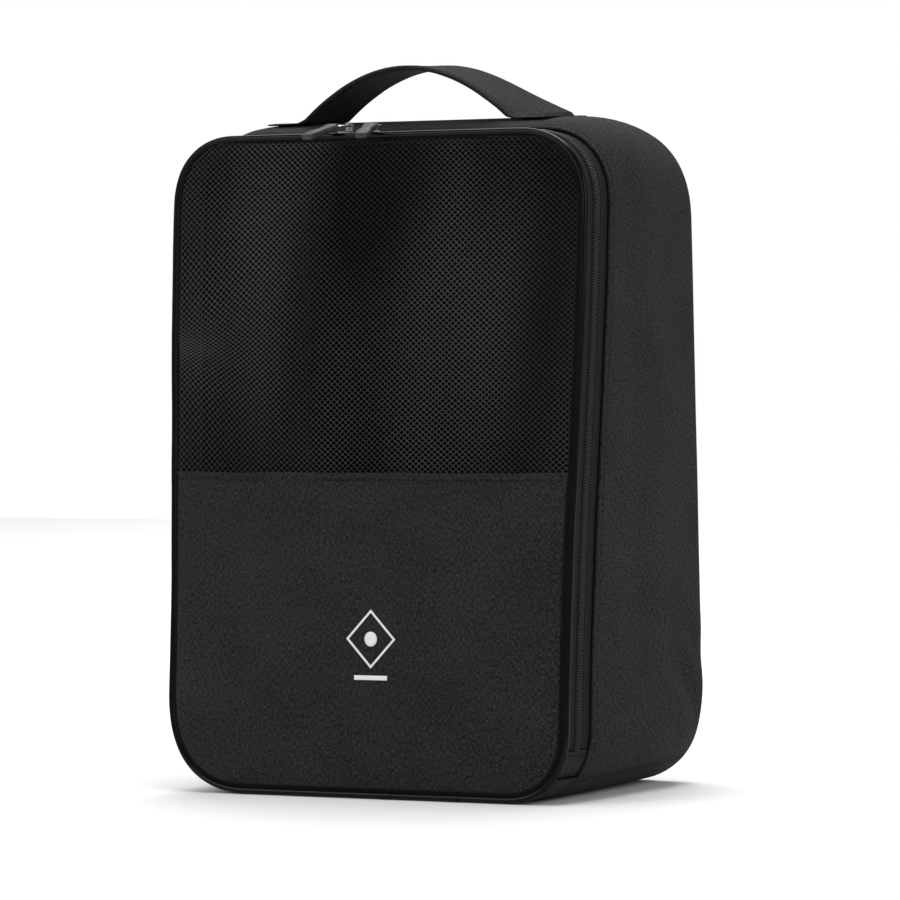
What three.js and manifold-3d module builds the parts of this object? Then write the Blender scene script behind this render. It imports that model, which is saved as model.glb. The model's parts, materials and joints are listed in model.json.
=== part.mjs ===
// Shoe bag: a soft box that stands on its base, with a mesh and fabric front that unzips and folds
// forward, two zip sliders with moulded pulls, and a sewn carry handle on top.
// Millimetres. X runs across the bag, Y from front to back and Z up. The origin is the middle of the
// base's underside, halfway between the front crown and the back crown.
import * as THREE from "three";
import { mergeVertices } from "three/addons/utils/BufferGeometryUtils.js";
import Module from "manifold-3d";

const wasm = await Module();
wasm.setup();

// ---- Driving dimensions ----
const bodyWidth = 258; // across the gusset
const bodyHeight = 350; // base to top, without the handle
const baseDepth = 140; // front seam to back seam at the base
const topDepth = 110; // front seam to back seam at the top: the front leans back
const cornerRadius = 46; // of the four rounded corners, seen from the front
const gap = 0.3; // between pieces that are sewn or rest together
const cornerSteps = 9; // flats in each rounded corner

// layers of the walls, counted inwards from the outside
const gussetCloth = 1.6; // outer cloth with its foam
const tapeThickness = 0.8; // zipper tape
const liningCloth = 1.0;
const boardThickness = 0.8; // plastic stiffening sheets
const bindingSize = 2.8; // folded binding tape on the inner seams

// front panel
const pipingRadius = 1.75;
const panelCloth = 1.2;
const frontCrown = 4; // how far the middle of the front stands proud of its seam
const backCrown = 6;
const panelStep = 36; // longest flat along a panel's edge
const hemHeight = 171; // top edge of the plain lower panel
const hemLap = 10; // of the lower panel over the mesh
const lapClearance = 0.8; // between the lower panel and the layer behind it
const markHeight = 84; // middle of the printed mark
const markAcross = 6; // X of its middle
const markSize = 31; // corner to corner of its diamond
const markLine = 1.2; // width of its drawn line
const markThickness = 0.2; // of the print

// zip, counted back from the front seam
const lidTapeFront = 2.2;
const coilWidth = 1.5;
const coilThickness = 1.8;
const coilFront = 9.4; // front of the lid's row of the coil
const sliderWeb = 1.0; // wall of the slider between the two rows
const gussetFront = 22; // folded front edge of the gusset
const tapeTuck = 8; // tape hidden under the gusset's edge
const zipEndAngle = 15; // degrees round each lower corner to the end of the zip
const tabAngle = 40; // degrees round each lower corner to the end of the stop tab
const baseSeamAngle = 45; // degrees round each lower corner to the gusset's cross seam

// sliders and pulls
const sliderLength = 10;
const sliderWidth = 8.4;
const plateThickness = 1.1;
const plateClearance = 0.6; // between the slider's plates and the coil
const bridgeWidth = 2.4;
const bridgeWall = 0.8;
const bridgeLift = 1.4; // room under the loop's bar, so that the pull clears the piping
const linkBar = 1.2; // width and thickness of the metal loop's wire
const linkLength = 11; // hinge bar to far bar, between centres
const linkWidth = 6.6;
const turningClearance = 0.5; // round a bar that turns in its hole
const gripLength = 25;
const gripWidth = 7.6;
const gripWaist = 5.6;
const gripThickness = 4.2;
const leftSliderX = -26;
const rightSliderX = -9;
const leftPullYaw = -8; // degrees, towards -X
const rightPullYaw = 20;
const gripDroop = 13; // degrees below level

// carry handle
const strapWidth = 42;
const strapThickness = 2.6;
const handleMiddle = -6; // X of the top of the arch
const handleSpan = 128; // foot to foot
const handleRise = 30; // of the arch over the top of the bag
const handleStub = 9; // height of the sewn foot that doesn't swing
const tailLength = 24; // sewn flat beyond each foot
const handleSteps = 16;

// ---- Values that follow from them ----
const lean = (baseDepth - topDepth) / bodyHeight;
const frontY = -baseDepth / 2;
const backY = baseDepth / 2;
const radians = THREE.MathUtils.degToRad;

const tapeTop = gussetCloth + gap; // outer face of the zipper tape
const tapeUnder = tapeTop + tapeThickness;
const liningTop = tapeUnder + gap;
const liningUnder = liningTop + liningCloth;
const lidCoilBack = coilFront + coilWidth;
const shellCoilFront = lidCoilBack + sliderWeb + 2 * gap;
const shellCoilBack = shellCoilFront + coilWidth;
const shellTapeBack = gussetFront + tapeTuck;
const panelInset = gap + 2 * pipingRadius + gap; // edge of the front panel's pieces

// ---- Materials ----
const finish = (color, roughness, metalness = 0) =>
  new THREE.MeshStandardMaterial({ color, roughness, metalness });
const outerCloth = finish(0x1f1f21, 0.9);
const meshCloth = finish(0x0e0e0f, 0.9);
const innerCloth = finish(0x2a2a2c, 0.95);
const tapeCloth = finish(0x202022, 0.85);
const coilPlastic = finish(0x18181a, 0.45);
const pipingPlastic = finish(0x0a0a0b, 0.2);
const board = finish(0x9a9a96, 0.7);
const nickel = finish(0xc8c8c6, 0.25, 1);
const pullRubber = finish(0x2e2e30, 0.7);
const whitePrint = finish(0xf2f2f0, 0.6);

// ---- The bag's outline, seen from the front ----

// One station of the outline: a point on the outside and the direction straight inwards.
function cornerStation(side, isTop, angle) {
  const outwardX = side * Math.cos(angle);
  const outwardZ = (isTop ? 1 : -1) * Math.sin(angle);
  const middleX = side * (bodyWidth / 2 - cornerRadius);
  const middleZ = isTop ? bodyHeight - cornerRadius : cornerRadius;
  return {
    x: middleX + outwardX * cornerRadius,
    z: middleZ + outwardZ * cornerRadius,
    inX: -outwardX,
    inZ: -outwardZ,
  };
}

// Stations round one corner, between two angles above or below level.
function cornerStations(side, isTop, fromAngle, toAngle) {
  const steps = Math.max(2, Math.ceil((cornerSteps * Math.abs(toAngle - fromAngle)) / 90));
  const stations = [];
  for (let i = 0; i <= steps; i += 1) {
    const angle = radians(fromAngle + ((toAngle - fromAngle) * i) / steps);
    stations.push(cornerStation(side, isTop, angle));
  }
  return stations;
}

// Over the top, from an angle round the lower right corner to the same angle on the left.
const archStations = (angle) => [
  ...cornerStations(1, false, angle, 0),
  ...cornerStations(1, true, 0, 90),
  ...cornerStations(-1, true, 90, 0),
  ...cornerStations(-1, false, 0, angle),
];

// Under the base, from an angle round the lower left corner to the same angle on the right.
const baseStations = (angle) => [
  ...cornerStations(-1, false, angle, 90),
  ...cornerStations(1, false, 90, angle),
];

// A stretch of one lower corner.
const lowerCornerStations = (side, fromAngle, toAngle) =>
  side > 0
    ? cornerStations(1, false, toAngle, fromAngle)
    : cornerStations(-1, false, fromAngle, toAngle);

const wholeOutline = [...archStations(45).slice(0, -1), ...baseStations(45).slice(0, -1)];

// ---- Solids ----

function solidGeometry(positions, triangles) {
  const geometry = new THREE.BufferGeometry();
  geometry.setAttribute("position", new THREE.Float32BufferAttribute(positions, 3));
  geometry.setIndex(triangles);
  return geometry;
}

// Carries a closed section along stations of the outline. Each corner of the section is
// [depth below the outside, back], where back is [distance behind the front seam, 0] for a place
// that follows the leaning front, or [distance before the back seam, 1] for one at the back.
function band(section, stations, closed = false) {
  const corners = section.length;
  const positions = [];
  for (const s of stations)
    for (const [inset, [offset, atBack]] of section) {
      const z = s.z + s.inZ * inset;
      const y = atBack ? backY - offset : frontY + lean * z + offset;
      positions.push(s.x + s.inX * inset, y, z);
    }
  const triangles = [];
  const laps = closed ? stations.length : stations.length - 1;
  for (let i = 0; i < laps; i += 1)
    for (let j = 0; j < corners; j += 1) {
      const here = i * corners;
      const next = ((i + 1) % stations.length) * corners;
      const k = (j + 1) % corners;
      triangles.push(here + j, here + k, next + k);
      triangles.push(here + j, next + k, next + j);
    }
  if (!closed) {
    const flat = section.map(([inset, [offset, atBack]]) => {
      const along = atBack ? baseDepth - offset : offset;
      return new THREE.Vector2(inset, along);
    });
    const last = (stations.length - 1) * corners;
    for (const [a, b, c] of THREE.ShapeUtils.triangulateShape(flat, [])) {
      triangles.push(a, c, b);
      triangles.push(last + a, last + b, last + c);
    }
  }
  return facingOut(solidGeometry(positions, triangles));
}

// Turns a closed geometry's faces over if they point inwards.
function facingOut(geometry) {
  const at = geometry.attributes.position;
  const index = geometry.index.array;
  const [a, b, c] = [new THREE.Vector3(), new THREE.Vector3(), new THREE.Vector3()];
  let volume = 0;
  for (let i = 0; i < index.length; i += 3) {
    a.fromBufferAttribute(at, index[i]);
    b.fromBufferAttribute(at, index[i + 1]);
    c.fromBufferAttribute(at, index[i + 2]);
    volume += a.dot(b.cross(c));
  }
  if (volume < 0)
    for (let i = 0; i < index.length; i += 3)
      [index[i + 1], index[i + 2]] = [index[i + 2], index[i + 1]];
  return geometry;
}

// A rectangular section between two insets and two distances behind the front seam.
const frontStrip = (outer, inner, front, back) => [
  [outer, [front, 0]],
  [inner, [front, 0]],
  [inner, [back, 0]],
  [outer, [back, 0]],
];

// The same, but reaching to a distance before the back seam.
const wallStrip = (outer, inner, front, beforeBack) => [
  [outer, [front, 0]],
  [inner, [front, 0]],
  [inner, [beforeBack, 1]],
  [outer, [beforeBack, 1]],
];

// How far a panel stands proud at a point, as a share of its crown: a dome that falls to
// nothing at the bag's outline.
function dome(x, z) {
  const across = (2 * x) / bodyWidth;
  const up = (2 * z) / bodyHeight - 1;
  return (1 - across ** 2) * (1 - up ** 2);
}

// A panel on a star-shaped outline: rings of points that shrink to the middle, on two faces.
// faceY gives the outer face's Y at a point, and the panel is "thickness" thick behind it.
const panelRings = [1, 0.8, 0.55, 0.28];
function panel(edge, middle, faceY, thickness) {
  const outline = divided(edge);
  const count = outline.length;
  const positions = [];
  for (const behind of [0, thickness])
    for (const share of [...panelRings, 0])
      for (const p of share ? outline : [middle]) {
        const x = middle.x + (p.x - middle.x) * share;
        const z = middle.z + (p.z - middle.z) * share;
        positions.push(x, faceY(x, z) + behind, z);
      }
  const face = panelRings.length * count + 1;
  const triangles = [];
  for (let j = 0; j < count; j += 1) {
    const k = (j + 1) % count;
    for (const side of [0, 1]) {
      const push = (a, b, c) => triangles.push(...(side ? [a, c, b] : [a, b, c]));
      const start = side * face;
      for (let ring = 0; ring + 1 < panelRings.length; ring += 1) {
        const here = start + ring * count;
        const next = here + count;
        push(here + j, next + k, here + k);
        push(here + j, next + j, next + k);
      }
      const inner = start + (panelRings.length - 1) * count;
      push(inner + j, start + face - 1, inner + k);
    }
    triangles.push(j, k, face + k);
    triangles.push(j, face + k, face + j);
  }
  return facingOut(solidGeometry(positions, triangles));
}

// The outline moved inwards, as plain points.
const insetOutline = (inset) =>
  wholeOutline.map((s) => ({ x: s.x + s.inX * inset, z: s.z + s.inZ * inset }));

// The same outline with its long sides divided, so that a panel can follow its dome.
function divided(points) {
  return points.flatMap((p, i) => {
    const q = points[(i + 1) % points.length];
    const steps = Math.ceil(Math.hypot(q.x - p.x, q.z - p.z) / panelStep);
    return Array.from({ length: steps }, (_, k) => ({
      x: p.x + ((q.x - p.x) * k) / steps,
      z: p.z + ((q.z - p.z) * k) / steps,
    }));
  });
}

// The part of a convex outline above or below a level line.
function cutOutline(points, level, keepAbove) {
  const kept = [];
  const isKept = (p) => (keepAbove ? p.z >= level : p.z <= level);
  points.forEach((p, i) => {
    const q = points[(i + 1) % points.length];
    if (isKept(p)) kept.push(p);
    if (isKept(p) === isKept(q)) return;
    const share = (level - p.z) / (q.z - p.z);
    kept.push({ x: p.x + (q.x - p.x) * share, z: level });
  });
  return kept;
}

const frontFace = (proud) => (x, z) => frontY + lean * z - proud - frontCrown * dome(x, z);
const backFace = (inside) => (x, z) => backY - inside + backCrown * dome(x, z);

function toManifold(geometry) {
  const bare = geometry.clone();
  bare.deleteAttribute("normal");
  bare.deleteAttribute("uv");
  const merged = mergeVertices(bare, 1e-4);
  return new wasm.Manifold(
    new wasm.Mesh({
      numProp: 3,
      vertProperties: new Float32Array(merged.attributes.position.array),
      triVerts: new Uint32Array(merged.index.array),
    }),
  );
}

function fromManifold(solid) {
  const { vertProperties, triVerts } = solid.getMesh();
  return solidGeometry(vertProperties, Array.from(triVerts));
}

function piece(name, geometry, material) {
  const mesh = new THREE.Mesh(geometry, material);
  mesh.name = name;
  return mesh;
}

const bag = new THREE.Group();
const shell = new THREE.Group();
const lid = new THREE.Group();
bag.add(shell, lid);

// ---- Shell: gusset, back, lining and boards ----
const seamGap = THREE.MathUtils.radToDeg(gap / cornerRadius);
const outerWall = wallStrip(0, gussetCloth, gussetFront, 0);
shell.add(
  piece("gusset_upper", band(outerWall, archStations(baseSeamAngle)), outerCloth),
  piece("gusset_base", band(outerWall, baseStations(baseSeamAngle + seamGap)), outerCloth),
);

const backLayers = {
  panel: gap + gussetCloth,
  stiffener: panelCloth + gap,
  lining: panelCloth + boardThickness + 2 * gap,
};
const backEnd = backLayers.lining + liningCloth + gap;
const middlePoint = (level) => ({ x: 0, z: level });
const backPiece = (name, inset, inside, thickness, material) => {
  const faceY = (x, z) => backFace(inside)(x, z) - thickness;
  const outline = insetOutline(inset);
  return piece(name, panel(outline, middlePoint(bodyHeight / 2), faceY, thickness), material);
};
shell.add(
  backPiece("back_panel", backLayers.panel, 0, panelCloth, outerCloth),
  backPiece("back_stiffener", liningUnder + gap, backLayers.stiffener, boardThickness, board),
  backPiece("back_lining", liningUnder + gap, backLayers.lining, liningCloth, innerCloth),
);

const liningFront = gussetFront + gap;
const liningWall = wallStrip(liningTop, liningUnder, liningFront, backEnd);
const bindingTop = liningUnder + gap;
const bindingUnder = bindingTop + bindingSize;
const backBinding = [
  [bindingTop, [backEnd + bindingSize, 1]],
  [bindingUnder, [backEnd + bindingSize, 1]],
  [bindingUnder, [backEnd, 1]],
  [bindingTop, [backEnd, 1]],
];
shell.add(
  piece("gusset_lining", band(liningWall, wholeOutline, true), innerCloth),
  piece("back_seam_binding", band(backBinding, wholeOutline, true), tapeCloth),
);

// The base board lies between the base's cloth and its lining, on the flat stretch of the base.
const boardWidth = bodyWidth - 2 * cornerRadius;
const boardFront = frontY + gussetFront + gap;
const boardDepth = backY - backEnd - boardFront;
const baseBoard = new THREE.BoxGeometry(boardWidth, boardDepth, boardThickness);
baseBoard.translate(0, boardFront + boardDepth / 2, tapeTop + boardThickness / 2);
shell.add(piece("base_board", baseBoard, board));

// ---- Zip: one tape and one row of the coil on each side ----
const coilTop = tapeTop - (coilThickness - tapeThickness) / 2;
const coilUnder = coilTop + coilThickness;
const zipStations = archStations(zipEndAngle);
const coilRow = (front) => frontStrip(coilTop, coilUnder, front, front + coilWidth);
const lidTape = frontStrip(tapeTop, tapeUnder, lidTapeFront, coilFront - gap);
const shellTape = frontStrip(tapeTop, tapeUnder, shellCoilBack + gap, shellTapeBack);
shell.add(
  piece("zipper_tape_shell", band(shellTape, zipStations), tapeCloth),
  piece("zipper_coil_shell", band(coilRow(shellCoilFront), zipStations), coilPlastic),
);
lid.add(
  piece("zipper_tape_lid", band(lidTape, zipStations), tapeCloth),
  piece("zipper_coil_lid", band(coilRow(coilFront), zipStations), coilPlastic),
);

// A cloth tab closes each end of the zip, and the hinge strip runs between the tabs.
const tabStrip = frontStrip(tapeTop, liningTop, lidTapeFront + gap, gussetFront - gap);
const hingeStrip = frontStrip(gap, gussetCloth, lidTapeFront + gap, gussetFront - gap);
for (const [side, word] of [
  [-1, "left"],
  [1, "right"],
]) {
  const stations = lowerCornerStations(side, zipEndAngle + 2 * seamGap, tabAngle);
  shell.add(piece(`zip_end_tab_${word}`, band(tabStrip, stations), outerCloth));
}
shell.add(piece("lid_hinge_strip", band(hingeStrip, baseStations(tabAngle + seamGap)), outerCloth));

// ---- Lid: piping, mesh, lower panel and print ----
const pipingSides = 8;
const pipingSection = [];
for (let i = 0; i < pipingSides; i += 1) {
  const angle = (2 * Math.PI * (i + 0.5)) / pipingSides;
  const inset = gap + pipingRadius * (1 - Math.cos(angle));
  pipingSection.push([inset, [pipingRadius * Math.sin(angle), 0]]);
}
const lidBinding = frontStrip(
  panelInset,
  panelInset + bindingSize,
  panelCloth / 2 + gap,
  panelCloth / 2 + gap + bindingSize,
);
const panelOutline = insetOutline(panelInset);
const meshFoot = hemHeight - hemLap;
const meshMiddle = middlePoint((meshFoot + bodyHeight) / 2);
const liningMiddle = middlePoint(meshFoot / 2);
const innerLayer = frontFace(panelCloth / 2);
const outerLayer = frontFace(panelCloth / 2 + lapClearance + panelCloth);
lid.add(
  piece("front_piping", band(pipingSection, wholeOutline, true), pipingPlastic),
  piece("lid_seam_binding", band(lidBinding, wholeOutline, true), tapeCloth),
  piece(
    "mesh_window",
    panel(cutOutline(panelOutline, meshFoot, true), meshMiddle, innerLayer, panelCloth),
    meshCloth,
  ),
  piece(
    "lower_panel_lining",
    panel(cutOutline(panelOutline, meshFoot - gap, false), liningMiddle, innerLayer, panelCloth),
    innerCloth,
  ),
  piece(
    "front_lower_panel",
    panel(
      cutOutline(panelOutline, hemHeight, false),
      middlePoint(hemHeight / 2),
      outerLayer,
      panelCloth,
    ),
    outerCloth,
  ),
);

// The print is a plain diamond outline round a small disc, with a short bar below it.
const diamond = (reach) => {
  const shape = new THREE.Shape();
  shape.moveTo(reach, 0);
  shape.lineTo(0, reach);
  shape.lineTo(-reach, 0);
  shape.lineTo(0, -reach);
  shape.closePath();
  return shape;
};
const printed = (shape, drop) => {
  const flat = new THREE.ExtrudeGeometry(shape, {
    depth: markThickness,
    bevelEnabled: false,
    curveSegments: 12,
  });
  flat.rotateX(Math.PI / 2);
  flat.rotateX(-Math.atan(lean));
  const height = markHeight - drop;
  flat.translate(markAcross, outerLayer(markAcross, height) - gap, height);
  return flat;
};
const markFrame = diamond(markSize / 2);
markFrame.holes.push(diamond(markSize / 2 - markLine * Math.SQRT2));
const markDisc = new THREE.Shape().absarc(0, 0, markSize / 8, 0, 2 * Math.PI);
const barHalf = markSize / 3;
const markBar = new THREE.Shape();
markBar.moveTo(-barHalf, -markLine);
markBar.lineTo(barHalf, -markLine);
markBar.lineTo(barHalf, markLine);
markBar.lineTo(-barHalf, markLine);
markBar.closePath();
lid.add(
  piece("printed_mark_frame", printed(markFrame, 0), whitePrint),
  piece("printed_mark_disc", printed(markDisc, 0), whitePrint),
  piece("printed_mark_bar", printed(markBar, markSize / 2 + 4 * markLine), whitePrint),
);

// ---- Sliders and pulls ----

// A slider is an H lying on its side: two plates with a web that passes between the coil's rows.
const webMiddle = lidCoilBack + gap + sliderWeb / 2;
const coilMiddle = bodyHeight - (coilTop + coilUnder) / 2;
const plateFoot = bodyHeight - coilTop + plateClearance;
const plateTop = plateFoot + plateThickness;
const lowerTop = bodyHeight - coilUnder - plateClearance;
const lowerFoot = lowerTop - plateThickness;
function sliderBody() {
  const half = sliderWidth / 2;
  const web = sliderWeb / 2;
  const shape = new THREE.Shape();
  shape.moveTo(-half, lowerFoot);
  shape.lineTo(half, lowerFoot);
  shape.lineTo(half, lowerTop);
  shape.lineTo(web, lowerTop);
  shape.lineTo(web, plateFoot);
  shape.lineTo(half, plateFoot);
  shape.lineTo(half, plateTop);
  shape.lineTo(-half, plateTop);
  shape.lineTo(-half, plateFoot);
  shape.lineTo(-web, plateFoot);
  shape.lineTo(-web, lowerTop);
  shape.lineTo(-half, lowerTop);
  shape.closePath();
  const geometry = new THREE.ExtrudeGeometry(shape, { depth: sliderLength, bevelEnabled: false });
  geometry.translate(0, 0, -sliderLength / 2);
  geometry.rotateX(Math.PI / 2);
  geometry.rotateZ(Math.PI / 2);
  return geometry;
}

// The bridge is an arch over the loop's hinge bar. Heading is +X and up is +Z here.
const holeHalf = linkBar / 2 + turningClearance;
const bridgeDrop = holeHalf + bridgeLift;
const hingeHeight = plateTop + gap + bridgeDrop;
function bridge() {
  const outer = holeHalf + bridgeWall;
  const shape = new THREE.Shape();
  shape.moveTo(-outer, -bridgeDrop);
  shape.lineTo(-holeHalf, -bridgeDrop);
  shape.lineTo(-holeHalf, holeHalf);
  shape.lineTo(holeHalf, holeHalf);
  shape.lineTo(holeHalf, -bridgeDrop);
  shape.lineTo(outer, -bridgeDrop);
  shape.lineTo(outer, outer);
  shape.lineTo(-outer, outer);
  shape.closePath();
  const geometry = new THREE.ExtrudeGeometry(shape, { depth: bridgeWidth, bevelEnabled: false });
  geometry.translate(0, 0, -bridgeWidth / 2);
  geometry.rotateX(Math.PI / 2);
  return geometry;
}

const rectangle = (Kind, x0, x1, y0, y1) => {
  const path = new Kind();
  path.moveTo(x0, y0);
  path.lineTo(x1, y0);
  path.lineTo(x1, y1);
  path.lineTo(x0, y1);
  path.closePath();
  return path;
};

// The metal loop lies flat: its hinge bar is on the origin and its far bar is linkLength ahead.
function link() {
  const bar = linkBar / 2;
  const side = linkWidth / 2;
  const shape = rectangle(THREE.Shape, -bar, linkLength + bar, -side, side);
  shape.holes.push(rectangle(THREE.Path, bar, linkLength - bar, linkBar - side, side - linkBar));
  const geometry = new THREE.ExtrudeGeometry(shape, { depth: linkBar, bevelEnabled: false });
  geometry.translate(0, 0, -bar);
  return geometry;
}

// The moulded grip: a neck with an eye round the loop's far bar, then a waisted paddle.
function grip() {
  const neck = linkWidth / 2 - linkBar - gap;
  const eye = linkBar / 2 + turningClearance;
  const neckEnd = eye + 2 * bridgeWall;
  const wide = gripWidth / 2;
  const waist = gripWaist / 2;
  const shape = new THREE.Shape();
  shape.moveTo(-eye - bridgeWall, -neck);
  shape.lineTo(neckEnd, -neck);
  shape.lineTo(neckEnd + bridgeWall, -wide);
  shape.quadraticCurveTo(gripLength * 0.45, -waist, gripLength * 0.7, -wide);
  shape.lineTo(gripLength - wide, -wide);
  shape.absarc(gripLength - wide, 0, wide, -Math.PI / 2, Math.PI / 2);
  shape.lineTo(gripLength * 0.7, wide);
  shape.quadraticCurveTo(gripLength * 0.45, waist, neckEnd + bridgeWall, wide);
  shape.lineTo(neckEnd, neck);
  shape.lineTo(-eye - bridgeWall, neck);
  shape.closePath();
  const paddle = new THREE.ExtrudeGeometry(shape, {
    depth: gripThickness,
    bevelEnabled: false,
    curveSegments: 5,
  });
  paddle.translate(0, 0, -gripThickness / 2);
  const hole = new THREE.BoxGeometry(2 * eye, linkWidth, 2 * eye);
  return fromManifold(toManifold(paddle).subtract(toManifold(hole)));
}

for (const [word, x, yaw] of [
  ["left", leftSliderX, leftPullYaw],
  ["right", rightSliderX, rightPullYaw],
]) {
  const slider = new THREE.Group();
  slider.position.set(x, frontY + lean * coilMiddle + webMiddle, 0);
  slider.add(piece(`slider_${word}_body`, sliderBody(), nickel));
  const heading = new THREE.Group();
  heading.position.z = hingeHeight;
  heading.rotation.z = radians(yaw - 90);
  heading.add(piece(`slider_${word}_bridge`, bridge(), nickel));
  heading.add(piece(`pull_${word}_loop`, link(), nickel));
  const gripMesh = piece(`pull_${word}_grip`, grip(), pullRubber);
  gripMesh.position.x = linkLength;
  gripMesh.rotation.y = radians(gripDroop);
  heading.add(gripMesh);
  slider.add(heading);
  lid.add(slider);
}

// ---- Carry handle ----

// A strap of constant thickness on a line of points in the XZ plane, extruded along Y. An end at
// which it is split from the next piece is cut upright, so that the two can turn past each other.
const topMiddleY = (frontY + lean * bodyHeight + backY) / 2;
function strap(points, splitEnds) {
  const half = strapThickness / 2;
  const normals = points.map((p, i) => {
    const before = points[Math.max(i - 1, 0)];
    const after = points[Math.min(i + 1, points.length - 1)];
    const normal = new THREE.Vector2(before.y - after.y, after.x - before.x).normalize();
    return splitEnds.includes(i) ? new THREE.Vector2(0, 1 / normal.y) : normal;
  });
  const side = (sign) => points.map((p, i) => p.clone().addScaledVector(normals[i], sign * half));
  const shape = new THREE.Shape([...side(-1), ...side(1).reverse()]);
  const geometry = new THREE.ExtrudeGeometry(shape, { depth: strapWidth, bevelEnabled: false });
  geometry.rotateX(Math.PI / 2);
  geometry.translate(0, topMiddleY + strapWidth / 2, 0);
  return facingOut(mergeVertices(geometry.deleteAttribute("normal").deleteAttribute("uv"), 1e-4));
}

const strapFoot = bodyHeight + gap + strapThickness / 2;
const archPoint = (share) =>
  new THREE.Vector2(
    handleMiddle + (share * handleSpan) / 2,
    strapFoot + handleRise * (1 - share ** 2),
  );
const splitShare = Math.sqrt(1 - handleStub / handleRise);
const splitGap = gap / handleSpan;
const archPoints = (from, to, steps) => {
  const points = [];
  for (let i = 0; i <= steps; i += 1) points.push(archPoint(from + ((to - from) * i) / steps));
  return points;
};

// The flat tail beyond a foot follows the outside of the gusset.
function tailPoints(side) {
  const points = [];
  const footX = archPoint(side).x;
  const steps = 6;
  const bend = bodyWidth / 2 - cornerRadius;
  const radius = cornerRadius + gap + strapThickness / 2;
  for (let i = 0; i <= steps; i += 1) {
    const x = footX + (side * tailLength * (steps - i)) / steps;
    const past = Math.max(0, side * x - bend);
    const z = strapFoot - radius + Math.sqrt(radius ** 2 - past ** 2);
    points.push(new THREE.Vector2(x, z));
  }
  return points;
}

const stubSteps = 3;
const leftFoot = [...tailPoints(-1), ...archPoints(-1, -splitShare, stubSteps).slice(1)];
const rightFoot = [...tailPoints(1), ...archPoints(1, splitShare, stubSteps).slice(1)].reverse();
shell.add(
  piece("handle_foot_left", strap(leftFoot, [leftFoot.length - 1]), outerCloth),
  piece("handle_foot_right", strap(rightFoot, [0]), outerCloth),
);
const archReach = splitShare - 2 * splitGap;
const arch = archPoints(-archReach, archReach, handleSteps);
bag.add(piece("handle_strap", strap(arch, [0, handleSteps]), outerCloth));

// The origin is halfway between the front-most and the back-most points.
const extent = new THREE.Box3().setFromObject(bag);
bag.position.y = -(extent.min.y + extent.max.y) / 2;

export default bag;
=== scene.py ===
import json
import math

import bpy
import numpy as np
from mathutils import Matrix, Vector


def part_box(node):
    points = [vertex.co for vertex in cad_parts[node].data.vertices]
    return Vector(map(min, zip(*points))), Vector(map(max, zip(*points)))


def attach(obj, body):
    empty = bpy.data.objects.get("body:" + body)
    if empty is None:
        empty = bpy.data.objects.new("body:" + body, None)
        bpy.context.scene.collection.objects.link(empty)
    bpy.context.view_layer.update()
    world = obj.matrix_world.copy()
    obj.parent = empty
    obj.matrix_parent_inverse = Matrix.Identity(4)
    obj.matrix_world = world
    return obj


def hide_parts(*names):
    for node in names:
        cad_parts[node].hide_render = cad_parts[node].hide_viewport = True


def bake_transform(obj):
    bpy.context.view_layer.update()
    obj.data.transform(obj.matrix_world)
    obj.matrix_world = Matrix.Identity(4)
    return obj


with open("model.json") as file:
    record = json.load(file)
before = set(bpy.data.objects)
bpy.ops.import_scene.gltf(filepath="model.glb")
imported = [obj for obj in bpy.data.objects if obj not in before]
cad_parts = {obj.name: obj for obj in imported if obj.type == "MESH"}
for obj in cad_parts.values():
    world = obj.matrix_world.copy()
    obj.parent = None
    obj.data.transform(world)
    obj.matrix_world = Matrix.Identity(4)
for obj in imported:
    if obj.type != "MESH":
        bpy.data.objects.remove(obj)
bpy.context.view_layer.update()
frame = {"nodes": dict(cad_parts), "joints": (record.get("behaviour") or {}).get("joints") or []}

scene = bpy.context.scene
MM = 0.001


# ---------------------------------------------------------------------------------------------
# The studio: a flat pale sheet of paper under the bag, four soft lamps, one of them behind it,
# and a long lens that looks slightly down on the bag from off to its right.
# ---------------------------------------------------------------------------------------------

CAMERA_AZIMUTH = math.radians(33.2)
CAMERA_ELEVATION = math.radians(2.5)
CAMERA_ROLL = math.radians(-1.39)
CAMERA_DISTANCE = 3.468
CAMERA_AIM = Vector((0.0, 0.018, 0.175))
LENS = 259.1


def camera_matrix(aim, azimuth, elevation, roll, distance):
    """The camera's place: out from the aim along the azimuth and elevation, turned by the roll."""
    back = Vector((
        math.sin(azimuth) * math.cos(elevation),
        -math.cos(azimuth) * math.cos(elevation),
        math.sin(elevation),
    ))
    turn = back.to_track_quat("Z", "Y").to_matrix().to_4x4()
    return Matrix.Translation(aim + back * distance) @ turn @ Matrix.Rotation(roll, 4, "Z")


lens = bpy.data.cameras.new("lens")
lens.lens = LENS
lens.sensor_width = 36.0
lens.clip_end = 50.0
lens.shift_x = 0.0015
lens.shift_y = 0.0081
camera = bpy.data.objects.new("camera", lens)
camera.matrix_world = camera_matrix(
    CAMERA_AIM, CAMERA_AZIMUTH, CAMERA_ELEVATION, CAMERA_ROLL, CAMERA_DISTANCE
)
scene.collection.objects.link(camera)
scene.camera = camera


def soft_lamp(name, place, aim, size, watts):
    """A square area lamp that faces its aim."""
    data = bpy.data.lights.new(name, "AREA")
    data.size = size
    data.energy = watts
    lamp = bpy.data.objects.new(name, data)
    lamp.location = place
    lamp.rotation_euler = (Vector(place) - Vector(aim)).to_track_quat("Z", "Y").to_euler()
    scene.collection.objects.link(lamp)


soft_lamp("lamp_left", (-1.6, -2.2, 1.5), (0, 0, 0.2), 1.6, 30)
soft_lamp("lamp_right", (2.6, -0.9, 1.2), (0, 0, 0.2), 1.6, 26)
soft_lamp("lamp_top", (0.1, 0.2, 2.4), (0, 0, 0.2), 1.4, 36)

soft_lamp("lamp_behind", (-0.9, 1.9, 2.6), (-0.4, 1.3, 0), 2.4, 60)

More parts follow.
